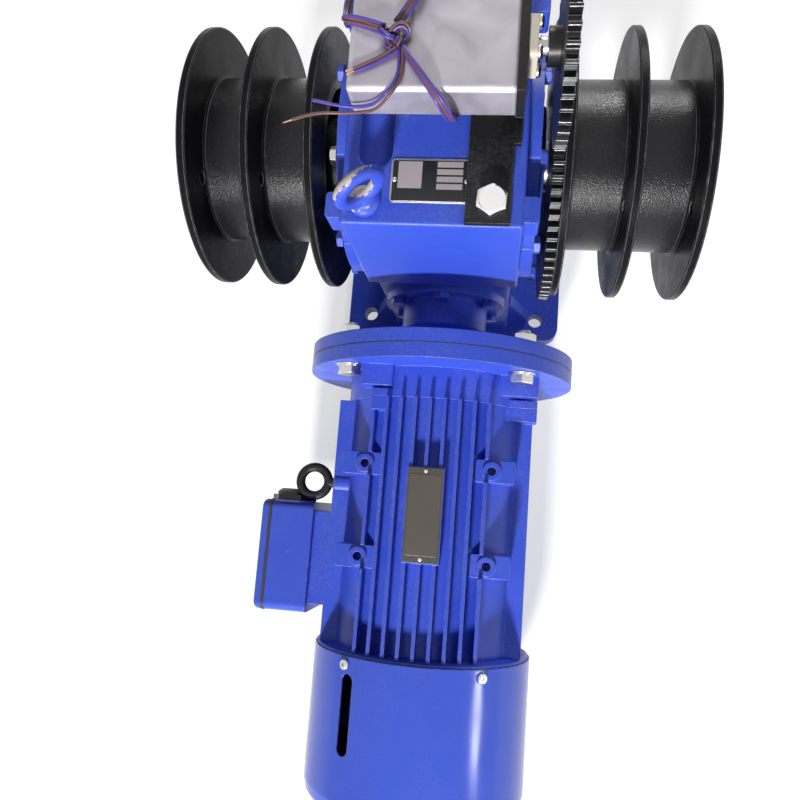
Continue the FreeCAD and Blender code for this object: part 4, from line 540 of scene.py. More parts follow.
bm = bmesh.new()
for side in (-1, 1):
    for k, (y, z) in enumerate(on_circle(8, SIDE_SCREW_CIRCLE, 22.5)):
        unpainted = side < 0 and z > 80 and y < 0
        hex_bolt(bm, (SIDE_FACE_X * side, y, AXIS + z), (side, 0, 0), **M8, length=18, turn=0.5 * k,
                 material=PLATED if unpainted else PAINTED)
    for k, (x, z) in enumerate(on_circle(6, TUNNEL_SCREW_CIRCLE, 30)):
        hex_bolt(bm, (x, TUNNEL_FACE_Y * side, WORM + z), (0, side, 0), **M8, length=18, turn=0.4 * k,
                 material=PAINTED)
for x, z in on_circle(3, BRAKE_SCREW_CIRCLE, 90):
    hex_bolt(bm, (x, BRAKE_FACE_Y, WORM + z), (0, -1, 0), **M8, length=60, turn=0.3, material=PLATED)
screws["m8_screws"] = finish_piece("m8_screw_set", bm, "base")
for node, piece in screws.items():
    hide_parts(node)
print("screw pieces:", [(piece.name, len(piece.data.polygons)) for piece in screws.values()])

# %% [markdown]
# ## The forged lifting eye
# An eye bolt is forged in one heat, so its ring flows into the collar without a corner. The drawing has a
# plain ring on a plain disc. Here the same ring and a flared collar are put into one mesh and melted
# together by a voxel Remesh modifier; a bevel could not follow the line where the two meet.

# %% Lifting eye
EYE_PLACE = Vector((-49, -81.5, CASE_TOP))
EYE_TURN = math.radians(37)
EYE_THROUGH = Vector((math.sin(EYE_TURN), -math.cos(EYE_TURN), 0))
EYE_RISE, EYE_RING, EYE_WIRE = 25, 16, 5
COLLAR = [(-18, 5.8), (0, 5.8), (0.02, 12), (4, 12), (5.8, 10.6), (8, 7.2), (11, 5.2)]

bm = bmesh.new()
turned(bm, EYE_PLACE, (0, 0, 1), COLLAR)
ring_centre = EYE_PLACE + Vector((0, 0, EYE_RISE))
hoop(bm, [circle(ring_centre, EYE_THROUGH, far, EYE_RING + out, 56)
          for out, far in on_circle(16, EYE_WIRE, 0)])
eye = finish_piece("lifting_eye_forging", bm, "base")
melt = eye.modifiers.new("forged_shape", "REMESH")
melt.mode = "VOXEL"
melt.voxel_size = 0.7 * MM
melt.use_smooth_shade = True
soften = eye.modifiers.new("soft_corners", "SMOOTH")
soften.iterations = 5
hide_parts("lifting_eye")
print("eye ring", 2 * EYE_RING, "mm across at", tuple(EYE_PLACE))

# %% [markdown]
# ## Data plates
# The gearbox and the motor each carry a riveted sheet plate. Both are blank here. The gearbox plate is
# black with a bright raised border, a blank panel and four blank strips; the motor plate is dull grey.
# Each layer is its own thin sheet with round corners, so the borders are real edges that catch light.

# %% Plate helpers
BROKEN_EDGE = 0.08
RIVET = [(-0.3, 1.8), (0.35, 1.75), (0.8, 1.3), (1.05, 0.6)]


def shrunk(span, share):
    """A span made shorter by the same amount at both ends."""
    return span[0] + share, span[1] - share


def outline(x, y, corner):
    """Points round a rectangle with round corners."""
    near_x, far_x = shrunk(x, corner)
    near_y, far_y = shrunk(y, corner)
    points = []
    for k, (middle_x, middle_y) in enumerate(((far_x, far_y), (near_x, far_y),
                                              (near_x, near_y), (far_x, near_y))):
        for step in range(6):
            angle = math.radians(90 * k + 18 * step)
            points.append((middle_x + corner * math.cos(angle), middle_y + corner * math.sin(angle)))
    return points


def sheet(bm, x, y, low, high, corner, material):
    """A thin flat sheet with round corners, between two heights."""
    rings = []
    for height, inset in ((low, 0), (high - BROKEN_EDGE, 0), (high, BROKEN_EDGE)):
        points = outline(shrunk(x, inset), shrunk(y, inset), corner)
        rings.append([bm.verts.new(Vector((a, b, height)) * MM) for a, b in points])
    skin(bm, rings, material)


def rivet(bm, x, y, height, material):
    turned(bm, (x, y, height), (0, 0, 1), RIVET, material, 20)


print("a rounded outline has", len(outline((0, 1), (0, 1), 0.1)), "points")

# %% Gearbox plate
METAL, FIELD, PANEL = 0, 1, 2
SUNK = 0.2
PLATE_X, PLATE_Y, PLATE_BORDER = (-31, 28), (-81, -47), 1.2
PLATE_TOP, FIELD_TOP, PANEL_TOP = CASE_TOP + 0.9, CASE_TOP + 1.0, CASE_TOP + 1.1
PANEL_X, PANEL_Y = (-25.7, -8), (-70, -49.2)
STRIP_X, STRIP_HEIGHT = (3, 22), 4.3
STRIP_TOPS = (-49.2, -54.9, -60.6, -66.3)
PLATE_RIVETS = ((-28.2, -63.6), (25.0, -64.2))

bm = bmesh.new()
sheet(bm, PLATE_X, PLATE_Y, CASE_TOP - SUNK, PLATE_TOP, 2.6, METAL)
sheet(bm, shrunk(PLATE_X, PLATE_BORDER), shrunk(PLATE_Y, PLATE_BORDER), CASE_TOP + 0.5, FIELD_TOP, 1.6, FIELD)
sheet(bm, PANEL_X, PANEL_Y, CASE_TOP + 0.7, PANEL_TOP, 0.4, PANEL)
for top in STRIP_TOPS:
    sheet(bm, STRIP_X, (top - STRIP_HEIGHT, top), CASE_TOP + 0.7, PANEL_TOP, 0.3, PANEL)
for x, y in PLATE_RIVETS:
    rivet(bm, x, y, FIELD_TOP, METAL)
plates = {"gearbox": finish_piece("gearbox_plate", bm, "base")}
print("gearbox plate", PLATE_X[1] - PLATE_X[0], "by", PLATE_Y[1] - PLATE_Y[0], "mm")

# %% Motor plate
PAD_TOP = 224.5
MOTOR_PLATE_X, MOTOR_PLATE_Y, MOTOR_PLATE_TOP = (-14.2, 15.7), (-345.2, -266.8), PAD_TOP + 0.8
SIDE_BORDER, END_BORDER = 1.6, 5.7
MOTOR_RIVET_X, MOTOR_RIVETS_Y = 0.7, (-269.6, -342.4)

bm = bmesh.new()
sheet(bm, MOTOR_PLATE_X, MOTOR_PLATE_Y, PAD_TOP - SUNK, MOTOR_PLATE_TOP, 1.2, FIELD)
sheet(bm, shrunk(MOTOR_PLATE_X, SIDE_BORDER), shrunk(MOTOR_PLATE_Y, END_BORDER), PAD_TOP + 0.4,
      PAD_TOP + 0.95, 0.6, PANEL)
for y in MOTOR_RIVETS_Y:
    rivet(bm, MOTOR_RIVET_X, y, MOTOR_PLATE_TOP, METAL)
plates["motor"] = finish_piece("motor_plate", bm, "base")
print("plates:", [piece.name for piece in plates.values()])

# %% [markdown]
# ## Seals in the joints, as painted shade
# Dark lines show where castings meet: a rubber seal squeezed out between the lid and the terminal box, and
# a thin sealing ring between the two flanges. Both are dark hoops that paint the shade in the gap of each
# joint. In the drawing the faces just touch, so each seal is a hoop that stands out by a fraction of a
# millimetre. A painted line would vanish at the rim.

# %% Seals
LID_SEAL_X = (-146.4, -143.6)
FLANGE_SEAL_Y = (-165.9, -165.1)
FLANGE_SEAL_OUTER, FLANGE_SEAL_INNER = 125.12, 124
LID_SEAL_Y, LID_SEAL_Z, LID_SEAL_WIDTH = (-402.5, -301.5), (85.5, 170.5), 6.5

bm = bmesh.new()
wide = outline(LID_SEAL_Y, LID_SEAL_Z, 8.5)
narrow = outline(shrunk(LID_SEAL_Y, LID_SEAL_WIDTH), shrunk(LID_SEAL_Z, LID_SEAL_WIDTH), 3)
around = ((LID_SEAL_X[0], wide), (LID_SEAL_X[1], wide), (LID_SEAL_X[1], narrow), (LID_SEAL_X[0], narrow))
hoop(bm, [[Vector((x, y, z)) for y, z in points] for x, points in around])
lid_seal_shade_line = finish_piece("terminal_lid_seal_shade_line", bm, "base")

bm = bmesh.new()
near, far = FLANGE_SEAL_Y
around = ((near, FLANGE_SEAL_OUTER), (far, FLANGE_SEAL_OUTER), (far, FLANGE_SEAL_INNER),
          (near, FLANGE_SEAL_INNER))
hoop(bm, [circle((0, 0, WORM), (0, 1, 0), y, radius, 128) for y, radius in around])
flange_seal_shade_line = finish_piece("flange_seal_shade_line", bm, "base")
print("seals:", lid_seal_shade_line.name, flange_seal_shade_line.name)

# %% [markdown]
# ## Shader helpers
# Each finish is a small tree of shader nodes. Adding nodes one by one takes many lines, so short helpers
# do it. They add a node with its inputs, carry a value from one range to another, join two values, and
# make soft noise that stays fixed to the piece.

# %% Node helpers
def add(tree, kind, inputs=None, **settings):
    """Adds a shader node; an input is a plain value or the output of another node."""
    node = tree.nodes.new("ShaderNode" + kind)
    for name, value in settings.items():
        setattr(node, name, value)
    for key, value in (inputs or {}).items():
        if isinstance(value, bpy.types.NodeSocket):
            tree.links.new(value, node.inputs[key])
        else:
            node.inputs[key].default_value = value
    return node


def ramp(tree, value, low, high, to_low=0.0, to_high=1.0):
    """A value carried from one range to another and held at its ends."""
    node = add(tree, "MapRange", {"Value": value, "From Min": low, "From Max": high,
                                  "To Min": to_low, "To Max": to_high})
    return node.outputs["Result"]


def join(tree, operation, first, second):
    """Two values added, multiplied or compared."""
    return add(tree, "Math", {0: first, 1: second}, operation=operation).outputs["Value"]


def agreement(tree, first, second):
    """How far two directions agree: 1 when alike, 0 when square to each other."""
    return add(tree, "VectorMath", {0: first, 1: second}, operation="DOT_PRODUCT").outputs["Value"]


def noise(tree, scale, detail, **more):
    """Soft noise that is fixed to the piece."""
    place = add(tree, "TexCoord").outputs["Object"]
    node = add(tree, "TexNoise", {"Vector": place, "Scale": scale, "Detail": detail, **more})
    return node.outputs["Fac"]


def mixed(tree, mask, first, second):
    """A colour that goes from the first to the second as the mask rises."""
    return add(tree, "Mix", {"Factor": mask, 6: first, 7: second}, data_type="RGBA").outputs[2]


print("node helpers: add, ramp, join, agreement, noise, mixed")

# %% [markdown]
# ## Shared effects as node groups
# Worn edges with their painted glints, paint skin, dust and brushed lines come back in many finishes.
# Copying their nodes into each material would be long and hard to change, so each effect is one node group
# with named sockets, and a material places it with its own values.

# %% Group helpers
def new_group(name, inputs, outputs):
    """Starts a node group; returns it with what comes in and the node that gives its results."""
    group = bpy.data.node_groups.new(name, "ShaderNodeTree")
    for label, kind, value in inputs:
        socket = group.interface.new_socket(label, in_out="INPUT", socket_type="NodeSocket" + kind)
        socket.default_value = value
    for label, kind in outputs:
        group.interface.new_socket(label, in_out="OUTPUT", socket_type="NodeSocket" + kind)
    return group, group.nodes.new("NodeGroupInput").outputs, group.nodes.new("NodeGroupOutput")


def close_group(group, end, results):
    """Links a group's results to its named outputs."""
    for label, value in results.items():
        group.links.new(value, end.inputs[label])
    print("group:", group.name, "gives", list(results))


def use(tree, group, inputs):
    """Places a node group in a material and returns its outputs."""
    node = tree.nodes.new("ShaderNodeGroup")
    node.node_tree = group
    for key, value in inputs.items():
        node.inputs[key].default_value = value
    return node.outputs


UPWARD = (0.0, 0.0, 1.0)
NOWHERE = (0.0, 0.0, 0.0)
print("directions:", UPWARD, NOWHERE)

# %% [markdown]
# ## Effect: worn edges and painted glints
# Paint and plating go first at corners, where pieces are knocked. On the gear teeth, the disc rims and the
# bent sheet the same edge mask also paints glints of light. A painted mask would need texture space for every
# piece.
# Instead the true normal is compared with a rounded one from the Bevel node: they differ only near an edge.
# The gears' painted glints lie on their teeth and not on their sides, so one direction can be spared.

# %% Worn edges and painted glints
EDGE_SPOTS = 120.0
edge_wear_and_glint, given, end = new_group(
    "edge_wear_and_glint",
    [("Width", "Float", 0.001), ("Amount", "Float", 0.4), ("Spared", "Vector", NOWHERE)],
    [("Mask", "Float"), ("Normal", "Vector")])
rounded = add(edge_wear_and_glint, "Bevel", {"Radius": given["Width"]}, samples=6).outputs["Normal"]
plain_normal = add(edge_wear_and_glint, "NewGeometry").outputs["Normal"]
near_edge = ramp(edge_wear_and_glint, agreement(edge_wear_and_glint, rounded, plain_normal), 0.995, 0.86)
sideways = agreement(edge_wear_and_glint, rounded, given["Spared"])
lean = add(edge_wear_and_glint, "Math", {0: sideways}, operation="ABSOLUTE").outputs["Value"]
chosen_edge = join(edge_wear_and_glint, "MULTIPLY", near_edge, ramp(edge_wear_and_glint, lean, 0.4, 0.15))
share = join(edge_wear_and_glint, "MULTIPLY", chosen_edge, given["Amount"])
spots = noise(edge_wear_and_glint, EDGE_SPOTS, 5.0, Roughness=0.65)
wear_and_glint = ramp(edge_wear_and_glint, join(edge_wear_and_glint, "ADD", share, spots), 0.80, 0.92)
close_group(edge_wear_and_glint, end, {"Mask": wear_and_glint, "Normal": rounded})

# %% [markdown]
# ## Effect: rubbed patches
# Where hooks and boots rub, paint goes in patches and not only at corners, mostly on the side that faces
# the rubbing. The mask is noise that is lifted on faces turned towards a chosen direction.

# %% Rubbed patches
rubbed_patches, given, end = new_group(
    "rubbed_patches",
    [("Towards", "Vector", UPWARD), ("Amount", "Float", 0.1), ("Anywhere", "Float", 0.0),
     ("Scale", "Float", 90.0)],
    [("Mask", "Float")])
plain_normal = add(rubbed_patches, "NewGeometry").outputs["Normal"]
exposed = ramp(rubbed_patches, agreement(rubbed_patches, plain_normal, given["Towards"]), 0.1, 0.95)
share = join(rubbed_patches, "MULTIPLY", exposed, given["Amount"])
spots = noise(rubbed_patches, given["Scale"], 6.0, Roughness=0.6)
lifted = join(rubbed_patches, "ADD", join(rubbed_patches, "ADD", share, spots), given["Anywhere"])
close_group(rubbed_patches, end, {"Mask": ramp(rubbed_patches, lifted, 0.82, 0.88)})

# %% [markdown]
# ## Effect: paint skin
# Sprayed paint dries with a fine peel, like the skin of an orange, and on a sand casting the lumps of the
# mould still show through it. Two noises of very different size give that relief; two slower ones give an
# uneven tone and the smears that make some places duller.

# %% Paint skin
CASTING_LUMPS = 60.0
paint_skin, given, end = new_group(
    "paint_skin", [("Peel", "Float", 700.0), ("Casting", "Float", 0.3)],
    [("Height", "Float"), ("Tone", "Float"), ("Gloss", "Float")])
peel = noise(paint_skin, given["Peel"], 2.0)
lumps = join(paint_skin, "MULTIPLY", noise(paint_skin, CASTING_LUMPS, 3.0), given["Casting"])
close_group(paint_skin, end, {
    "Height": join(paint_skin, "ADD", peel, lumps),
    "Tone": noise(paint_skin, 9.0, 4.0),
    "Gloss": noise(paint_skin, 28.0, 6.0, Distortion=0.6)})

# %% [markdown]
# ## Effect: settled dust
# Dust lies only on what faces up, in specks that gather in drifts. The up part of the normal says where it
# can lie, and a fine noise times a coarse one says where it does.

# %% Settled dust
settled_dust, given, end = new_group("settled_dust", [("Amount", "Float", 0.3)], [("Mask", "Float")])
plain_normal = add(settled_dust, "NewGeometry").outputs["Normal"]
rise = add(settled_dust, "SeparateXYZ", {"Vector": plain_normal}).outputs["Z"]
facing_up = ramp(settled_dust, rise, 0.3, 1.0)
specks = noise(settled_dust, 480.0, 3.0)
drifts = noise(settled_dust, 22.0, 4.0)
gathered = ramp(settled_dust, join(settled_dust, "MULTIPLY", specks, drifts), 0.22, 0.5)
lying = join(settled_dust, "MULTIPLY", gathered, facing_up)
close_group(settled_dust, end, {"Mask": join(settled_dust, "MULTIPLY", lying, given["Amount"])})

# %% [markdown]
# ## Effect: brushed lines
# Sheet is brushed and shafts are turned, so fine lines run one way. Noise becomes lines when its place is
# stretched: little along the lines and much across them. The same stretch all ways gives plain grain.

# %% Brushed lines
brushed_lines, given, end = new_group(
    "brushed_lines", [("Stretch", "Vector", (30.0, 900.0, 900.0))], [("Lines", "Float"), ("Smears", "Float")])
place = add(brushed_lines, "TexCoord").outputs["Object"]
pulled = add(brushed_lines, "VectorMath", {0: place, 1: given["Stretch"]}, operation="MULTIPLY")
fine = add(brushed_lines, "TexNoise", {"Vector": pulled.outputs["Vector"], "Scale": 1.0, "Detail": 4.0})
close_group(brushed_lines, end, {
    "Lines": fine.outputs["Fac"],
    "Smears": noise(brushed_lines, 35.0, 5.0, Distortion=0.8)})

# %% [markdown]
# ## Painted finishes
# The castings, the sheet cowl and the drums all wear paint, but over different ground: sand-cast iron is
# lumpy, a drawn cowl is smooth, and the drums were sprayed thick, so they have a fine peel. One function
# builds them all and takes the colour, the lumps and the wear as numbers.

# %% Painted metal
GRIME_AND_GLINT_DIMMING = (0.55, 0.50, 0.45)
DUST = (0.42, 0.42, 0.42, 1)
PAINT_DEPTH = 0.0004


def new_material(name):
    material = bpy.data.materials.new(name)
    material.use_nodes = True
    tree = material.node_tree
    return material, tree, tree.nodes["Principled BSDF"]


def relief(tree, shader, height, normal, strength, depth):
    """Fine relief on top of the rounded corners."""
    node = add(tree, "Bump", {"Height": height, "Normal": normal, "Strength": strength, "Distance": depth})
    tree.links.new(node.outputs["Normal"], shader.inputs["Normal"])


def painted(name, colour, deep, chip_and_glint, gloss, peel, casting, bump, wear_and_glint_amount, width=0.0012, dust=0.15, shine=0.35,
            rubbed=0.1, towards=UPWARD, anywhere=0.0, patch=90.0):
    """Paint: colour and its deeper tone, what shows at its edge marks (bare ground, and painted glints where
    a bright colour is given), and how lumpy it lies.
    """
    material, tree, shader = new_material(name)
    film = use(tree, paint_skin, {"Peel": peel, "Casting": casting})
    edges = use(tree, edge_wear_and_glint, {"Width": width, "Amount": wear_and_glint_amount})
    rubs = use(tree, rubbed_patches, {"Amount": rubbed, "Towards": towards, "Anywhere": anywhere,
                                      "Scale": patch})
    fallen = use(tree, settled_dust, {"Amount": dust})
    tone = mixed(tree, film["Tone"], (*deep, 1), (*colour, 1))
    gone = join(tree, "MAXIMUM", edges["Mask"], rubs["Mask"])
    dim_chip_and_glint = [part * share for part, share in zip(chip_and_glint, GRIME_AND_GLINT_DIMMING)]
    ground = mixed(tree, film["Gloss"], (*dim_chip_and_glint, 1), (*chip_and_glint, 1))
    chipped_and_glinting = mixed(tree, gone, tone, ground)
    tree.links.new(mixed(tree, fallen["Mask"], chipped_and_glinting, DUST), shader.inputs["Base Color"])
    tree.links.new(ramp(tree, film["Gloss"], 0.3, 0.7, *gloss), shader.inputs["Roughness"])
    shader.inputs["Specular IOR Level"].default_value = shine
    relief(tree, shader, film["Height"], edges["Normal"], bump, PAINT_DEPTH)
    return material


print("paint relief up to %.1f mm" % (PAINT_DEPTH / MM))

# %% Blue and black paints
BLUE, DEEP_BLUE = (0.046, 0.100, 0.640), (0.036, 0.080, 0.540)
BLACK, DEEP_BLACK = (0.0105, 0.0105, 0.0125), (0.0065, 0.0065, 0.008)
PRIMER = (0.34, 0.33, 0.33)
BARE_IRON = (0.74, 0.68, 0.60)
finishes = {
    "blue_cast": painted("blue_paint_on_casting", BLUE, DEEP_BLUE, PRIMER, gloss=(0.30, 0.46), peel=520,
                         casting=1.6, bump=0.35, wear_and_glint_amount=0.40),
    "blue_sheet": painted("blue_paint_on_sheet", BLUE, DEEP_BLUE, PRIMER, gloss=(0.12, 0.24), peel=420,
                          casting=0.3, bump=0.05, wear_and_glint_amount=0.38, dust=0.05),
    "blue_chipped": painted("blue_paint_chipped", BLUE, DEEP_BLUE, BARE_IRON, gloss=(0.34, 0.55), peel=420,
                            casting=1.2, bump=0.5, wear_and_glint_amount=0.40, width=0.0015, dust=0.3, rubbed=0.47,
                            towards=(-0.58, 0.10, 0.81), anywhere=0.055, patch=210.0),
    "drum_black": painted("black_drum_paint", BLACK, DEEP_BLACK, (0.16, 0.16, 0.17), gloss=(0.20, 0.31),
                          peel=900, casting=0.5, bump=0.8, wear_and_glint_amount=0.38, width=0.0009, dust=0.03, shine=0.27,
                          rubbed=0.0),
    # The disc rims' pale edge colour and large edge amount paint glints of light, besides real chips.
    "disc_black_with_glints": painted("black_disc_paint_with_painted_glints", BLACK, DEEP_BLACK, (0.50, 0.50, 0.52), gloss=(0.22, 0.34),
                          peel=900, casting=0.5, bump=0.5, wear_and_glint_amount=0.75, width=0.0013, dust=0.02, shine=0.04,
                          rubbed=0.0),
    "bracket_black": painted("black_bracket_paint", BLACK, DEEP_BLACK, (0.18, 0.17, 0.16), gloss=(0.38, 0.55),
                             peel=800, casting=0.6, bump=0.2, wear_and_glint_amount=0.42, width=0.0009, dust=0.10, shine=0.25),
}
print("painted finishes:", sorted(finishes))

# %% [markdown]
# ## Bare metal finishes
# Bolts are zinc plated, the box is brushed sheet whose bends carry a painted highlight, and the gear teeth
# are dark with bright corners that are partly wear and partly a painted glint.
# Metal shows mostly what it reflects, so its colour hardly varies and the detail lies in roughness.

# %% Bare metal
METAL_DEPTH = 0.0002


def bare(name, colour, stain, rough, stretch, bump, wear_and_glint_amount, wear_and_glint, width=0.0008, metal=1.0, spared=NOWHERE):
    """Metal with brushed or rolled lines, stains, and edges in another colour: wear, and on the gears and the
    sheet also a painted glint.
    """
    material, tree, shader = new_material(name)
    brushed = use(tree, brushed_lines, {"Stretch": stretch})
    edges = use(tree, edge_wear_and_glint, {"Width": width, "Amount": wear_and_glint_amount, "Spared": spared})
    tone = mixed(tree, brushed["Smears"], (*stain, 1), (*colour, 1))
    tree.links.new(mixed(tree, edges["Mask"], tone, (*wear_and_glint, 1)), shader.inputs["Base Color"])
    grain = join(tree, "MULTIPLY", brushed["Lines"], brushed["Smears"])
    tree.links.new(ramp(tree, grain, 0.1, 0.45, *rough), shader.inputs["Roughness"])
    shader.inputs["Metallic"].default_value = metal
    relief(tree, shader, brushed["Lines"], edges["Normal"], bump, METAL_DEPTH)
    return material


print("metal relief up to %.1f mm" % (METAL_DEPTH / MM))

# %% Plated, brushed and machined metals
ANY_WAY = (500.0, 500.0, 500.0)
BRIGHT = (0.72, 0.71, 0.70)
finishes.update({
    # On the box the near-white edge colour in a wide band paints the highlight along its bends, besides real
    # rubbing.
    "sheet_aluminium": bare("brushed_sheet_with_painted_bend_highlight", (0.64, 0.600, 0.670), (0.30, 0.280, 0.33), rough=(0.34, 0.54),
                            stretch=(25.0, 900.0, 900.0), bump=0.12, wear_and_glint_amount=0.6, wear_and_glint=(0.92, 0.90, 0.93),
                            width=0.0045, metal=0.6),
    "zinc": bare("zinc_plate", (0.78, 0.76, 0.73), (0.50, 0.48, 0.43), rough=(0.18, 0.36), stretch=ANY_WAY,
                 bump=0.1, wear_and_glint_amount=0.5, wear_and_glint=BRIGHT),
    # A lighter copy of the zinc, only for the bracket bolts, paints the bright highlight on their heads.
    "zinc_with_painted_highlight": bare("zinc_plate_with_painted_highlight", (0.94, 0.93, 0.92), (0.80, 0.79, 0.78), rough=(0.16, 0.30),
                        stretch=ANY_WAY, bump=0.05, wear_and_glint_amount=0.5, wear_and_glint=(0.95, 0.95, 0.95)),
    "shaft_steel": bare("turned_steel", (0.55, 0.55, 0.57), (0.40, 0.39, 0.38), rough=(0.20, 0.38),
                        stretch=(900.0, 60.0, 60.0), bump=0.1, wear_and_glint_amount=0.4, wear_and_glint=BRIGHT),
    # The near-white tooth corners paint glints of light on the gear teeth, besides real wear.
    "gear_steel": bare("dark_gear_steel_with_painted_glints", (0.020, 0.019, 0.021), (0.010, 0.010, 0.011), rough=(0.28, 0.45),
                       stretch=ANY_WAY, bump=0.15, wear_and_glint_amount=1.1, wear_and_glint=(0.88, 0.88, 0.89), width=0.0007,
                       metal=0.4, spared=(1.0, 0.0, 0.0)),
    "wheel_iron": bare("machined_iron", (0.17, 0.17, 0.175), (0.12, 0.115, 0.11), rough=(0.35, 0.5),
                       stretch=ANY_WAY, bump=0.2, wear_and_glint_amount=0.4, wear_and_glint=(0.3, 0.3, 0.3)),
    "bronze": bare("wheel_bronze", (0.60, 0.38, 0.17), (0.42, 0.25, 0.11), rough=(0.25, 0.42),
                   stretch=(700.0, 80.0, 80.0), bump=0.15, wear_and_glint_amount=0.4, wear_and_glint=(0.8, 0.6, 0.35)),
    "core_steel": bare("stacked_core", (0.24, 0.24, 0.25), (0.15, 0.15, 0.15), rough=(0.35, 0.5),
                       stretch=(60.0, 2200.0, 60.0), bump=0.5, wear_and_glint_amount=0.3, wear_and_glint=(0.4, 0.4, 0.4)),
    "copper": bare("copper", (0.72, 0.45, 0.31), (0.52, 0.29, 0.19), rough=(0.25, 0.4),
                   stretch=(300.0, 1500.0, 300.0), bump=0.3, wear_and_glint_amount=0.3, wear_and_glint=(0.8, 0.5, 0.3)),
    "plate_silver": bare("plate_silver", (0.62, 0.61, 0.60), (0.50, 0.49, 0.47), rough=(0.28, 0.42),
                         stretch=(40.0, 900.0, 900.0), bump=0.1, wear_and_glint_amount=0.4, wear_and_glint=BRIGHT, width=0.0003),
})
print("finishes so far:", len(finishes))

# %% [markdown]
# ## Plastic, rubber and brake lining
# These are dull and non-metal. What tells moulded plastic from paint is a very fine grain and soft
# corners, so one function with a grain scale is enough.

# %% Moulded pieces
MOULD_LUMPS = 0.2
GLOSS_SPREAD = 0.08


def moulded(name, colour, shade, rough, grain, bump):
    """Plastic or rubber with a fine moulded grain and a slightly uneven tone."""
    material, tree, shader = new_material(name)
    film = use(tree, paint_skin, {"Peel": grain, "Casting": MOULD_LUMPS})
    edges = use(tree, edge_wear_and_glint, {"Width": 0.0007, "Amount": 0.2})
    tree.links.new(mixed(tree, film["Tone"], (*shade, 1), (*colour, 1)), shader.inputs["Base Color"])
    spread = ramp(tree, film["Gloss"], 0.3, 0.7, rough - GLOSS_SPREAD, rough + GLOSS_SPREAD)
    tree.links.new(spread, shader.inputs["Roughness"])
    relief(tree, shader, film["Height"], edges["Normal"], bump, METAL_DEPTH)
    return material


for slot, name, colour, shade, rough, grain, bump in (
        ("ivory", "ivory_plastic", (0.74, 0.70, 0.58), (0.62, 0.57, 0.45), 0.42, 1500, 0.2),
        ("black_plastic", "black_plastic", (0.018, 0.018, 0.020), (0.011, 0.011, 0.012), 0.45, 1600, 0.3),
        # Near-black rubber; on the two joint seals it paints the shade in the gaps.
        ("seal_rubber", "seal_rubber", (0.030, 0.030, 0.032), (0.020, 0.020, 0.021), 0.6, 1100, 0.3),
        ("friction", "brake_lining", (0.075, 0.065, 0.058), (0.050, 0.043, 0.038), 0.8, 900, 0.8),
        ("wire_purple", "purple_wire", (0.100, 0.050, 0.400), (0.060, 0.032, 0.270), 0.35, 900, 0.1),
        ("wire_brown", "brown_wire", (0.180, 0.082, 0.066), (0.110, 0.048, 0.040), 0.38, 900, 0.1),
        ("plate_black", "plate_black", (0.012, 0.012, 0.014), (0.007, 0.007, 0.008), 0.36, 1200, 0.1),
        ("plate_pale", "plate_pale", (0.46, 0.41, 0.42), (0.36, 0.32, 0.33), 0.45, 1300, 0.15),
        ("plate_grey", "plate_grey", (0.085, 0.074, 0.062), (0.055, 0.048, 0.040), 0.45, 1400, 0.4),
        ("plate_brown", "plate_brown", (0.115, 0.100, 0.080), (0.060, 0.052, 0.042), 0.45, 900, 1.0)):
    finishes[slot] = moulded(name, colour, shade, rough, grain, bump)
print("finishes:", len(finishes))

# %% [markdown]
# ## Dressing the CAD pieces
# The record of the part says which finish each solid takes. Blue paint is split in two, because the
# cowl and the terminal box are smooth sheet or die-cast pieces while the rest is rough casting. The drum
# discs take a duller black than the barrels, and their rims carry pale edge marks that are partly chips and
# partly painted glints.

# %% Finishes on the solids
SMOOTH_BLUE = {"fan_cover", "terminal_lid", "terminal_box"}


def finish_of(node, slot):
    """The finish of a CAD piece; bundles of wire take one colour, because their strands replace them."""
    if slot == "blue_paint":
        return finishes["blue_sheet" if node in SMOOTH_BLUE else "blue_cast"]
    if node.startswith("drum_discs"):
        return finishes["disc_black_with_glints"]
    if slot == "wire_mixed":
        return finishes["wire_purple"]
    return finishes[slot]


def dress(piece, *materials):
    """Fills a piece's material slots in order; its faces keep their slot numbers."""
    slots = piece.data.materials
    for i, material in enumerate(materials):
        if i < len(slots):
            slots[i] = material
        else:
            slots.append(material)


node_slots = {part["node"]: part["material_slot"] for part in frame["record"]["subparts"]}
for node, slot in node_slots.items():
    dress(frame["nodes"][node], finish_of(node, slot))
print("dressed", len(node_slots), "CAD pieces")

# %% [markdown]
# ## Dressing the new pieces
# The wires, screws and plates were built with numbered material slots, so that one mesh can carry several
# finishes. The materials are now put into those slots in the same order.

# %% Finishes on the new pieces
for piece in [*wires.values(), knot]:
    dress(piece, finishes["wire_purple"], finishes["wire_brown"], finishes["copper"])
for piece in screws.values():
    dress(piece, finishes["zinc"])
# The bracket bolts take the lighter zinc copy, a painted highlight.
dress(screws["bracket_bolts"], finishes["zinc_with_painted_highlight"])
dress(screws["m8_screws"], finishes["blue_cast"], finishes["zinc"])
dress(eye, finishes["blue_chipped"])
# The dark seals paint the shade in the gaps of the two joints.
dress(lid_seal_shade_line, finishes["seal_rubber"])
dress(flange_seal_shade_line, finishes["seal_rubber"])
dress(plates["gearbox"], finishes["plate_silver"], finishes["plate_black"], finishes["plate_pale"])
dress(plates["motor"], finishes["plate_silver"], finishes["plate_grey"], finishes["plate_brown"])
print("dressed", len(wires) + len(screws) + len(plates) + 4, "new pieces")

# %% [markdown]
# ## Floor
# A white floor, as for a catalogue picture. A bright floor would light the winch from below, so the white
# is shown only to the camera and in reflections, by the Light Path node. It is stronger far away, where
# the lamps do not reach, and near the winch the floor still takes its shadow.

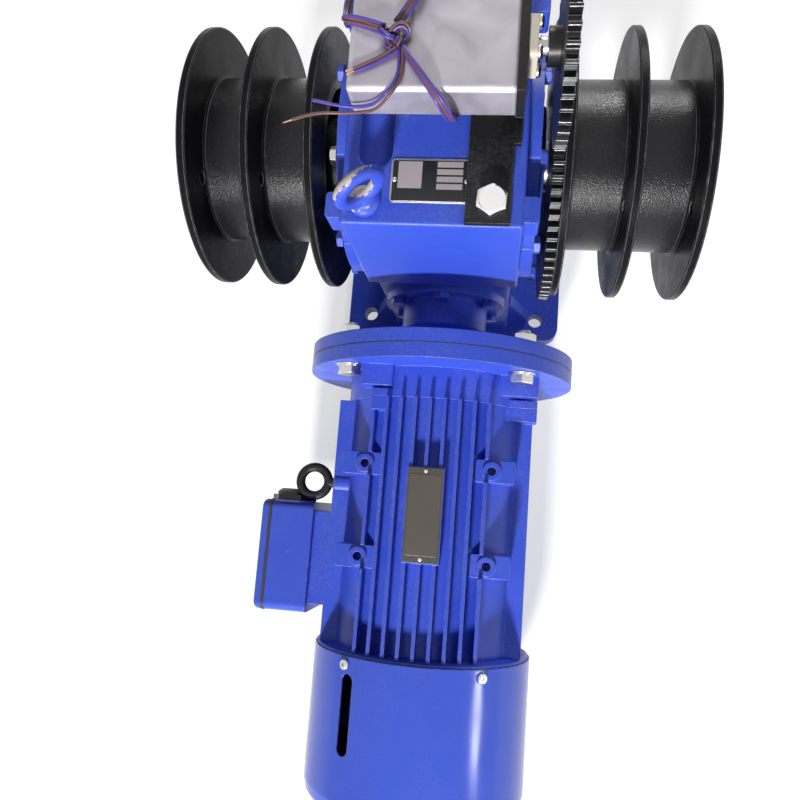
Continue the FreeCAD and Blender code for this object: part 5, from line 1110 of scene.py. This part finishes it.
# %% Floor
FLOOR_HALF_SIZE = 6.0
FLOOR_GAP = 0.0005
FLOOR_GREY = (0.62, 0.62, 0.62, 1)
WHITE = (1, 1, 1, 1)
GLOW_NEAR, GLOW_FAR = 0.55, 0.88
GLOW_STARTS, GLOW_ENDS = 0.9, 2.6


def shown_rays(tree):
    """1 for what is seen straight on, in a reflection or through glass, and 0 for light on the winch."""
    path = add(tree, "LightPath").outputs
    seen = join(tree, "MAXIMUM", path["Is Camera Ray"], path["Is Glossy Ray"])
    return join(tree, "MAXIMUM", seen, path["Is Transmission Ray"])


bm = bmesh.new()
bmesh.ops.create_grid(bm, x_segments=1, y_segments=1, size=FLOOR_HALF_SIZE)
floor_mesh = bpy.data.meshes.new("floor")
bm.to_mesh(floor_mesh)
bm.free()
floor = bpy.data.objects.new("floor", floor_mesh)
floor.location.z = cad_low.z - FLOOR_GAP
bpy.context.scene.collection.objects.link(floor)
white, tree, shader = new_material("white_floor")
shader.inputs["Base Color"].default_value = FLOOR_GREY
shader.inputs["Roughness"].default_value = 0.9
shader.inputs["Emission Color"].default_value = WHITE
from_middle = add(tree, "TexCoord").outputs["Object"]
away = add(tree, "VectorMath", {0: from_middle}, operation="LENGTH").outputs["Value"]
glow = ramp(tree, away, GLOW_STARTS, GLOW_ENDS, GLOW_NEAR, GLOW_FAR)
tree.links.new(join(tree, "MULTIPLY", shown_rays(tree), glow), shader.inputs["Emission Strength"])
dress(floor, white)
print("floor at", round(floor.location.z, 4))

# %% [markdown]
# ## World and lamps
# The world is white where it is seen, and dim as a light, so that the lamps shape the winch. The key lamp
# stands low in front: the faces towards the motor are the brightest and the shadows fall away from it. A
# side lamp and a back lamp put the bright streaks on the cowl and the drums.

# %% World and lamps
SKY_LIGHT, SKY_SHOWN = 0.15, 1.0
world = bpy.data.worlds.new("studio")
bpy.context.scene.world = world
world.use_nodes = True
tree = world.node_tree
sky = tree.nodes["Background"]
sky.inputs["Color"].default_value = WHITE
level = ramp(tree, shown_rays(tree), 0.0, 1.0, SKY_LIGHT, SKY_SHOWN)
tree.links.new(level, sky.inputs["Strength"])


def add_lamp(name, place, target, size, power):
    """A square lamp that faces a target."""
    lamp = bpy.data.lights.new(name, "AREA")
    lamp.size = size
    lamp.energy = power
    holder = bpy.data.objects.new(name, lamp)
    holder.location = place
    holder.rotation_euler = (Vector(target) - Vector(place)).to_track_quat("-Z", "Y").to_euler()
    bpy.context.scene.collection.objects.link(holder)
    print(name, "of", power, "watts")


add_lamp("key_lamp", place=(-0.16, -2.5, 1.45), target=(0, -0.2, 0.25), size=0.22, power=94)
add_lamp("side_lamp", place=(2.0, -1.0, 1.05), target=(0, -0.3, 0.2), size=0.3, power=9)
add_lamp("back_lamp", place=(0.4, 2.3, 1.1), target=(0, 0, 0.25), size=0.26, power=26)
bpy.context.scene.view_settings.view_transform = "Standard"
